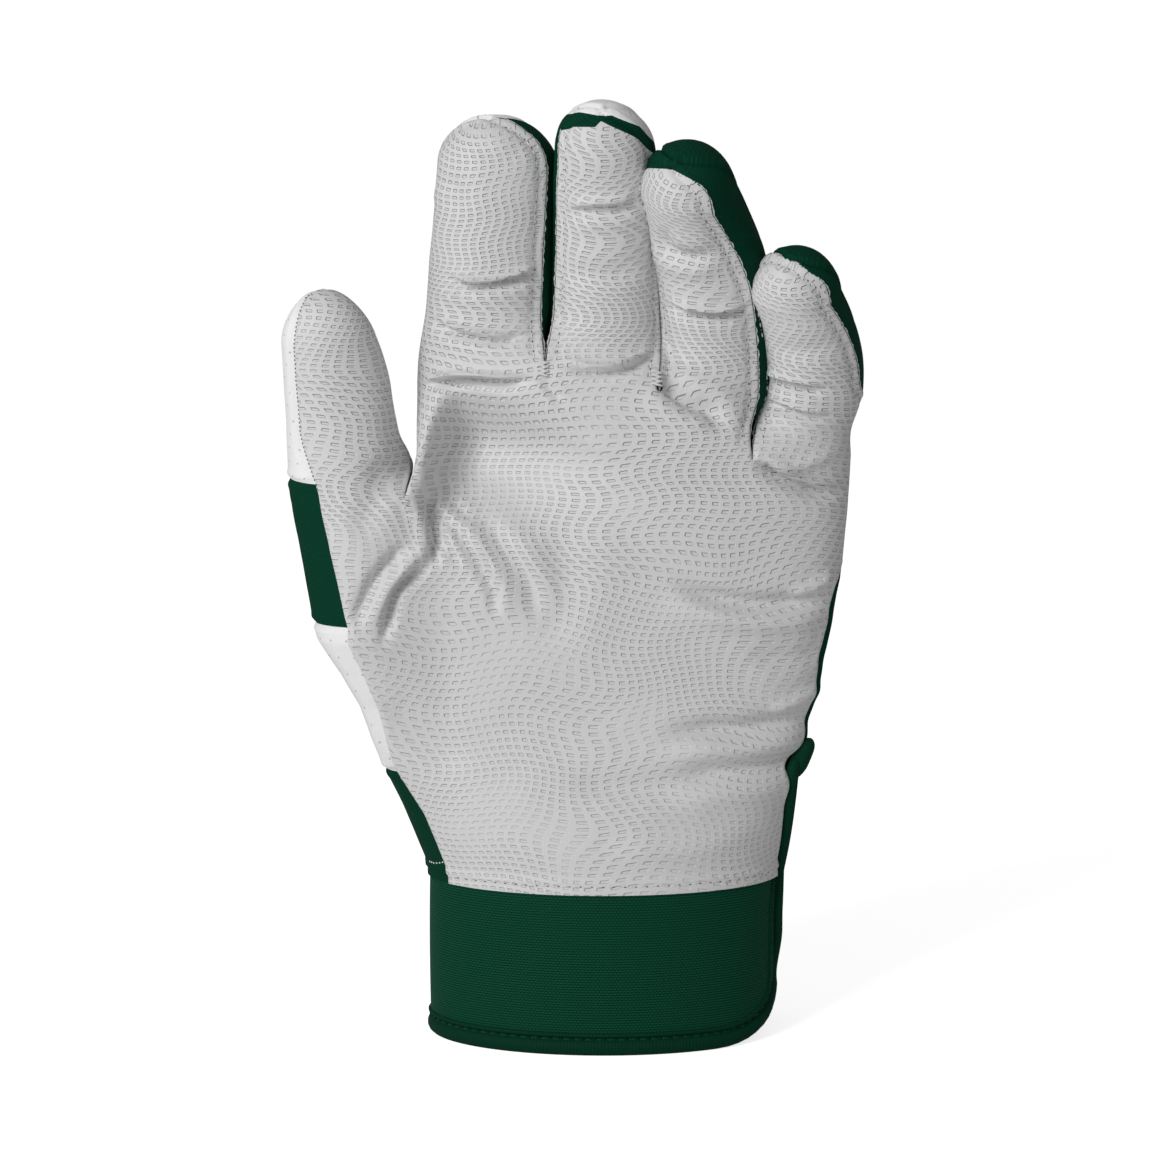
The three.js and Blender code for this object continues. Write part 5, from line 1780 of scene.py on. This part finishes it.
# %% Tab at the head of the slit
TAB_LENGTH = 10.0
TAB_RADIUS = 2.7
TAB_DEG = 81.0
TAB_LEAN = 2.0
TAB_OFFSET = Vector((1.0, -1.2, -0.4))
TAB_SET_IN = 0.6
TAB_DEEPER = 1.05
TAB_SQUARENESS = 0.6
TAB_CREASE_DEPTH = 0.25
TAB_CREASE_WIDTH = 0.25
head_z = np.array([SLIT_TOP])
tab_middle = Vector(ulnar_point(head_z, np.radians(np.array([TAB_DEG])))[0]) + TAB_OFFSET
tab = bmesh.new()
bmesh.ops.create_uvsphere(tab, u_segments=20, v_segments=16, radius=1)
tab.loops.layers.uv.new("flat_mm")
for v in tab.verts:
    x, y, z = v.co
    squared = math.copysign(abs(z) ** TAB_SQUARENESS, z)
    crease = TAB_CREASE_DEPTH * math.exp(-((y / TAB_CREASE_WIDTH) ** 2))
    aside = TAB_RADIUS * x * (1 - crease) + TAB_LEAN * squared - TAB_SET_IN
    v.co = tab_middle + Vector((aside, TAB_RADIUS * y * TAB_DEEPER, TAB_LENGTH / 2 * squared))
show("slit_tab_loop", tab, binding, "hand", ["slit_tab"], "binding_tape")
print("tab middle in mm", [round(v, 1) for v in tab_middle])

# %% [markdown]
# The closure strap lies over the back of the cuff and peels off its loop patch. The photograph doesn't show
# it, so it is made the usual way: a knitted strap, hook tape under its free end, and a moulded tab to pull.

# %% Closure strap
STRAP_LOW = 8.3
STRAP_HEIGHT = 29.0
STRAP_END_DEG = 200.0
STRAP_RISE = (102.0, 124.0)
STRAP_PROUD = 5.1
STRAP_SUNK = 0.9
PATCH_LOW = 11.3
PATCH_HEIGHT = 23.0
PATCH_START_DEG = 142.0
STRAP_SEAM_DEG = 72.0
STRAP_SEAM_GAP = 4.35
STRAP_WALL = 2.0
STRAP_GRID = (150, 30)
LOOP_PROUD = 1.4
HOOK_PROUD = 2.8
PATCH_WALL = 1.1
PATCH_GRID = (60, 20)
strap_start = math.degrees(angle_at(length_at(math.radians(STRAP_SEAM_DEG)) + STRAP_SEAM_GAP))


def strap_out(degrees):
    return STRAP_PROUD * ease(degrees, *STRAP_RISE) - STRAP_SUNK * (1 - ease(degrees, *STRAP_RISE))


def slab(degrees, out, low, tall, thickness, grid, round_end=0.0):
    """A curved slab on the cuff between two angles, with its outer face at the given stand-off."""
    columns, rows = grid
    share = np.linspace(0, 1, columns + 1)[None, :]
    angle = lerp(degrees[0], degrees[1], share)
    reach = np.abs(length_at(np.radians(angle)) - length_at(np.radians(degrees[1])))
    trim = np.zeros_like(angle)
    if round_end:
        trim = round_end - np.sqrt(round_end ** 2 - np.clip(round_end - reach, 0, round_end) ** 2)
    height = lerp(low + trim, low + tall - trim, np.linspace(0, 1, rows + 1)[:, None])
    angle = np.broadcast_to(angle, height.shape)
    stand = out(angle) if callable(out) else out
    turn = np.radians(angle)
    flat = np.stack([length_at(turn), height], axis=-1)
    return sheet(band_point(turn, stand, height), flat, thickness, -band_outward(turn))


strap = slab((strap_start, STRAP_END_DEG), strap_out, STRAP_LOW, STRAP_HEIGHT, STRAP_WALL, STRAP_GRID)
show("closure_strap_knit", strap, neoprene, "strap", ["closure_strap"], "neoprene")
patch_span = (PATCH_START_DEG, STRAP_END_DEG)
loop = slab(patch_span, LOOP_PROUD, PATCH_LOW, PATCH_HEIGHT, PATCH_WALL, PATCH_GRID)
show("loop_patch_tape", loop, hook_and_loop, "hand", ["loop_patch"], "hook_and_loop")
hook = slab(patch_span, HOOK_PROUD, PATCH_LOW, PATCH_HEIGHT, PATCH_WALL, PATCH_GRID)
show("hook_patch_tape", hook, hook_and_loop, "strap", ["hook_patch"], "hook_and_loop")
print("strap from", round(strap_start, 1), "to", STRAP_END_DEG, "degrees")

# %% [markdown]
# The tab at the strap's free end is moulded with upright ribs for the fingers, so its outer face is a row
# of round waves, and its far corners are rounded.

# %% Pull tab and the strap's stitches
PULL_TAB_GAP = 0.3
PULL_TAB_DEG = 14
PULL_TAB_PROUD = 6.1
PULL_TAB_WALL = 3.0
PULL_TAB_CORNER = 6.0
PULL_TAB_GRID = (44, 30)
RIB_HEIGHT = 0.5
RIB_WIDTH = 2.4
tab_start = math.degrees(angle_at(length_at(math.radians(STRAP_END_DEG)) + PULL_TAB_GAP))


def tab_out(degrees):
    across = length_at(np.radians(degrees)) - length_at(math.radians(tab_start))
    return PULL_TAB_PROUD - RIB_HEIGHT + RIB_HEIGHT * np.abs(np.sin(np.pi * across / RIB_WIDTH))


tab_span = (tab_start, tab_start + PULL_TAB_DEG)
pull_tab = slab(tab_span, tab_out, STRAP_LOW, STRAP_HEIGHT, PULL_TAB_WALL, PULL_TAB_GRID, PULL_TAB_CORNER)
show("strap_pull_tab_rubber", pull_tab, rubber, "strap", ["strap_pull_tab"], "moulded_rubber")

STRAP_STITCH_INSET = 2.2
STRAP_STITCH_PROUD = 0.05
STRAP_STITCH_FREE_DEG = (4, 2)
STRAP_STITCH_POINTS = 90


def on_strap(height):
    def place(point):
        angle = math.degrees(math.atan2(point[0] / CUFF_HALF_WIDTH, -point[1] / CUFF_HALF_DEPTH)) % 360
        turn = np.radians(np.array([angle]))
        spot = band_point(turn, strap_out(angle) + STRAP_STITCH_PROUD, np.array([height]))[0]
        return Vector(spot), Vector(band_outward(turn)[0])
    return place


first_deg, last_deg = strap_start + STRAP_STITCH_FREE_DEG[0], STRAP_END_DEG - STRAP_STITCH_FREE_DEG[1]
strap_angles = np.linspace(first_deg, last_deg, STRAP_STITCH_POINTS)
stitch_heights = {
    "lower": STRAP_LOW + STRAP_STITCH_INSET,
    "upper": STRAP_LOW + STRAP_HEIGHT - STRAP_STITCH_INSET,
}
for edge, height in stitch_heights.items():
    line = band_point(np.radians(strap_angles), strap_out(strap_angles), np.full(len(strap_angles), height))
    for piece in sew(f"strap_stitches_{edge}", line, green_thread, on_strap(height), holes=False):
        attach(piece, "strap")

# %% [markdown]
# Light. One soft lamp from the upper left in front, and an even white room. The floor and the room are
# white to the camera, and the floor keeps the glove's shadow.

# %% Light
WHITE = (1, 1, 1, 1)
ROOM_LIGHT = 0.26
BACKDROP_LIGHT = 1.0
studio = bpy.data.worlds.new("studio")
bpy.context.scene.world = studio
studio.use_nodes = True
tree = studio.node_tree
tree.nodes.clear()
seen = add(tree, "ShaderNodeLightPath", {})
room = add(tree, "ShaderNodeBackground", {"Color": WHITE, "Strength": ROOM_LIGHT})
backdrop = add(tree, "ShaderNodeBackground", {"Color": WHITE, "Strength": BACKDROP_LIGHT})
mixed = add(tree, "ShaderNodeMixShader", {
    0: seen.outputs["Is Camera Ray"], 1: room.outputs[0], 2: backdrop.outputs[0]})
add(tree, "ShaderNodeOutputWorld", {0: mixed.outputs[0]})

LAMP_PLACE = (-690, -910, 635)
LAMP_AIM = (0, 0, 120)
LAMP_SIZE = 0.5
LAMP_POWER = 9.0
key = bpy.data.objects.new("key", bpy.data.lights.new("key", "AREA"))
key.data.size = LAMP_SIZE
key.data.energy = LAMP_POWER
key.location = TO_FRAME @ Vector(LAMP_PLACE)
aim = TO_FRAME @ Vector(LAMP_AIM) - key.location
key.rotation_euler = aim.to_track_quat("-Z", "Y").to_euler()
bpy.context.scene.collection.objects.link(key)
print("lamp at", [round(v, 2) for v in key.location], "m")

# %% Floor
FLOOR_HALF = 4.0
FLOOR_GLOW = 0.76
floor_mesh = bmesh.new()
bmesh.ops.create_grid(floor_mesh, x_segments=1, y_segments=1, size=FLOOR_HALF)
floor_data = bpy.data.meshes.new("floor")
floor_mesh.to_mesh(floor_data)
floor_mesh.free()
floor = bpy.data.objects.new("floor", floor_data)
bpy.context.scene.collection.objects.link(floor)
paper, tree, shader = new_material("white paper", "#F4F4F4", roughness=0.9)
shader.inputs["Specular IOR Level"].default_value = 0.0
seen = add(tree, "ShaderNodeLightPath", {})
lit = add(tree, "ShaderNodeEmission", {"Color": WHITE, "Strength": FLOOR_GLOW})
both = add(tree, "ShaderNodeAddShader", {0: shader.outputs[0], 1: lit.outputs[0]})
chosen = add(tree, "ShaderNodeMixShader", {
    0: seen.outputs["Is Camera Ray"], 1: shader.outputs[0], 2: both.outputs[0]})
tree.links.new(chosen.outputs[0], tree.nodes["Material Output"].inputs[0])
floor_data.materials.append(paper)
bpy.context.scene.view_settings.view_transform = "Standard"
print("floor", 2 * FLOOR_HALF, "m wide")
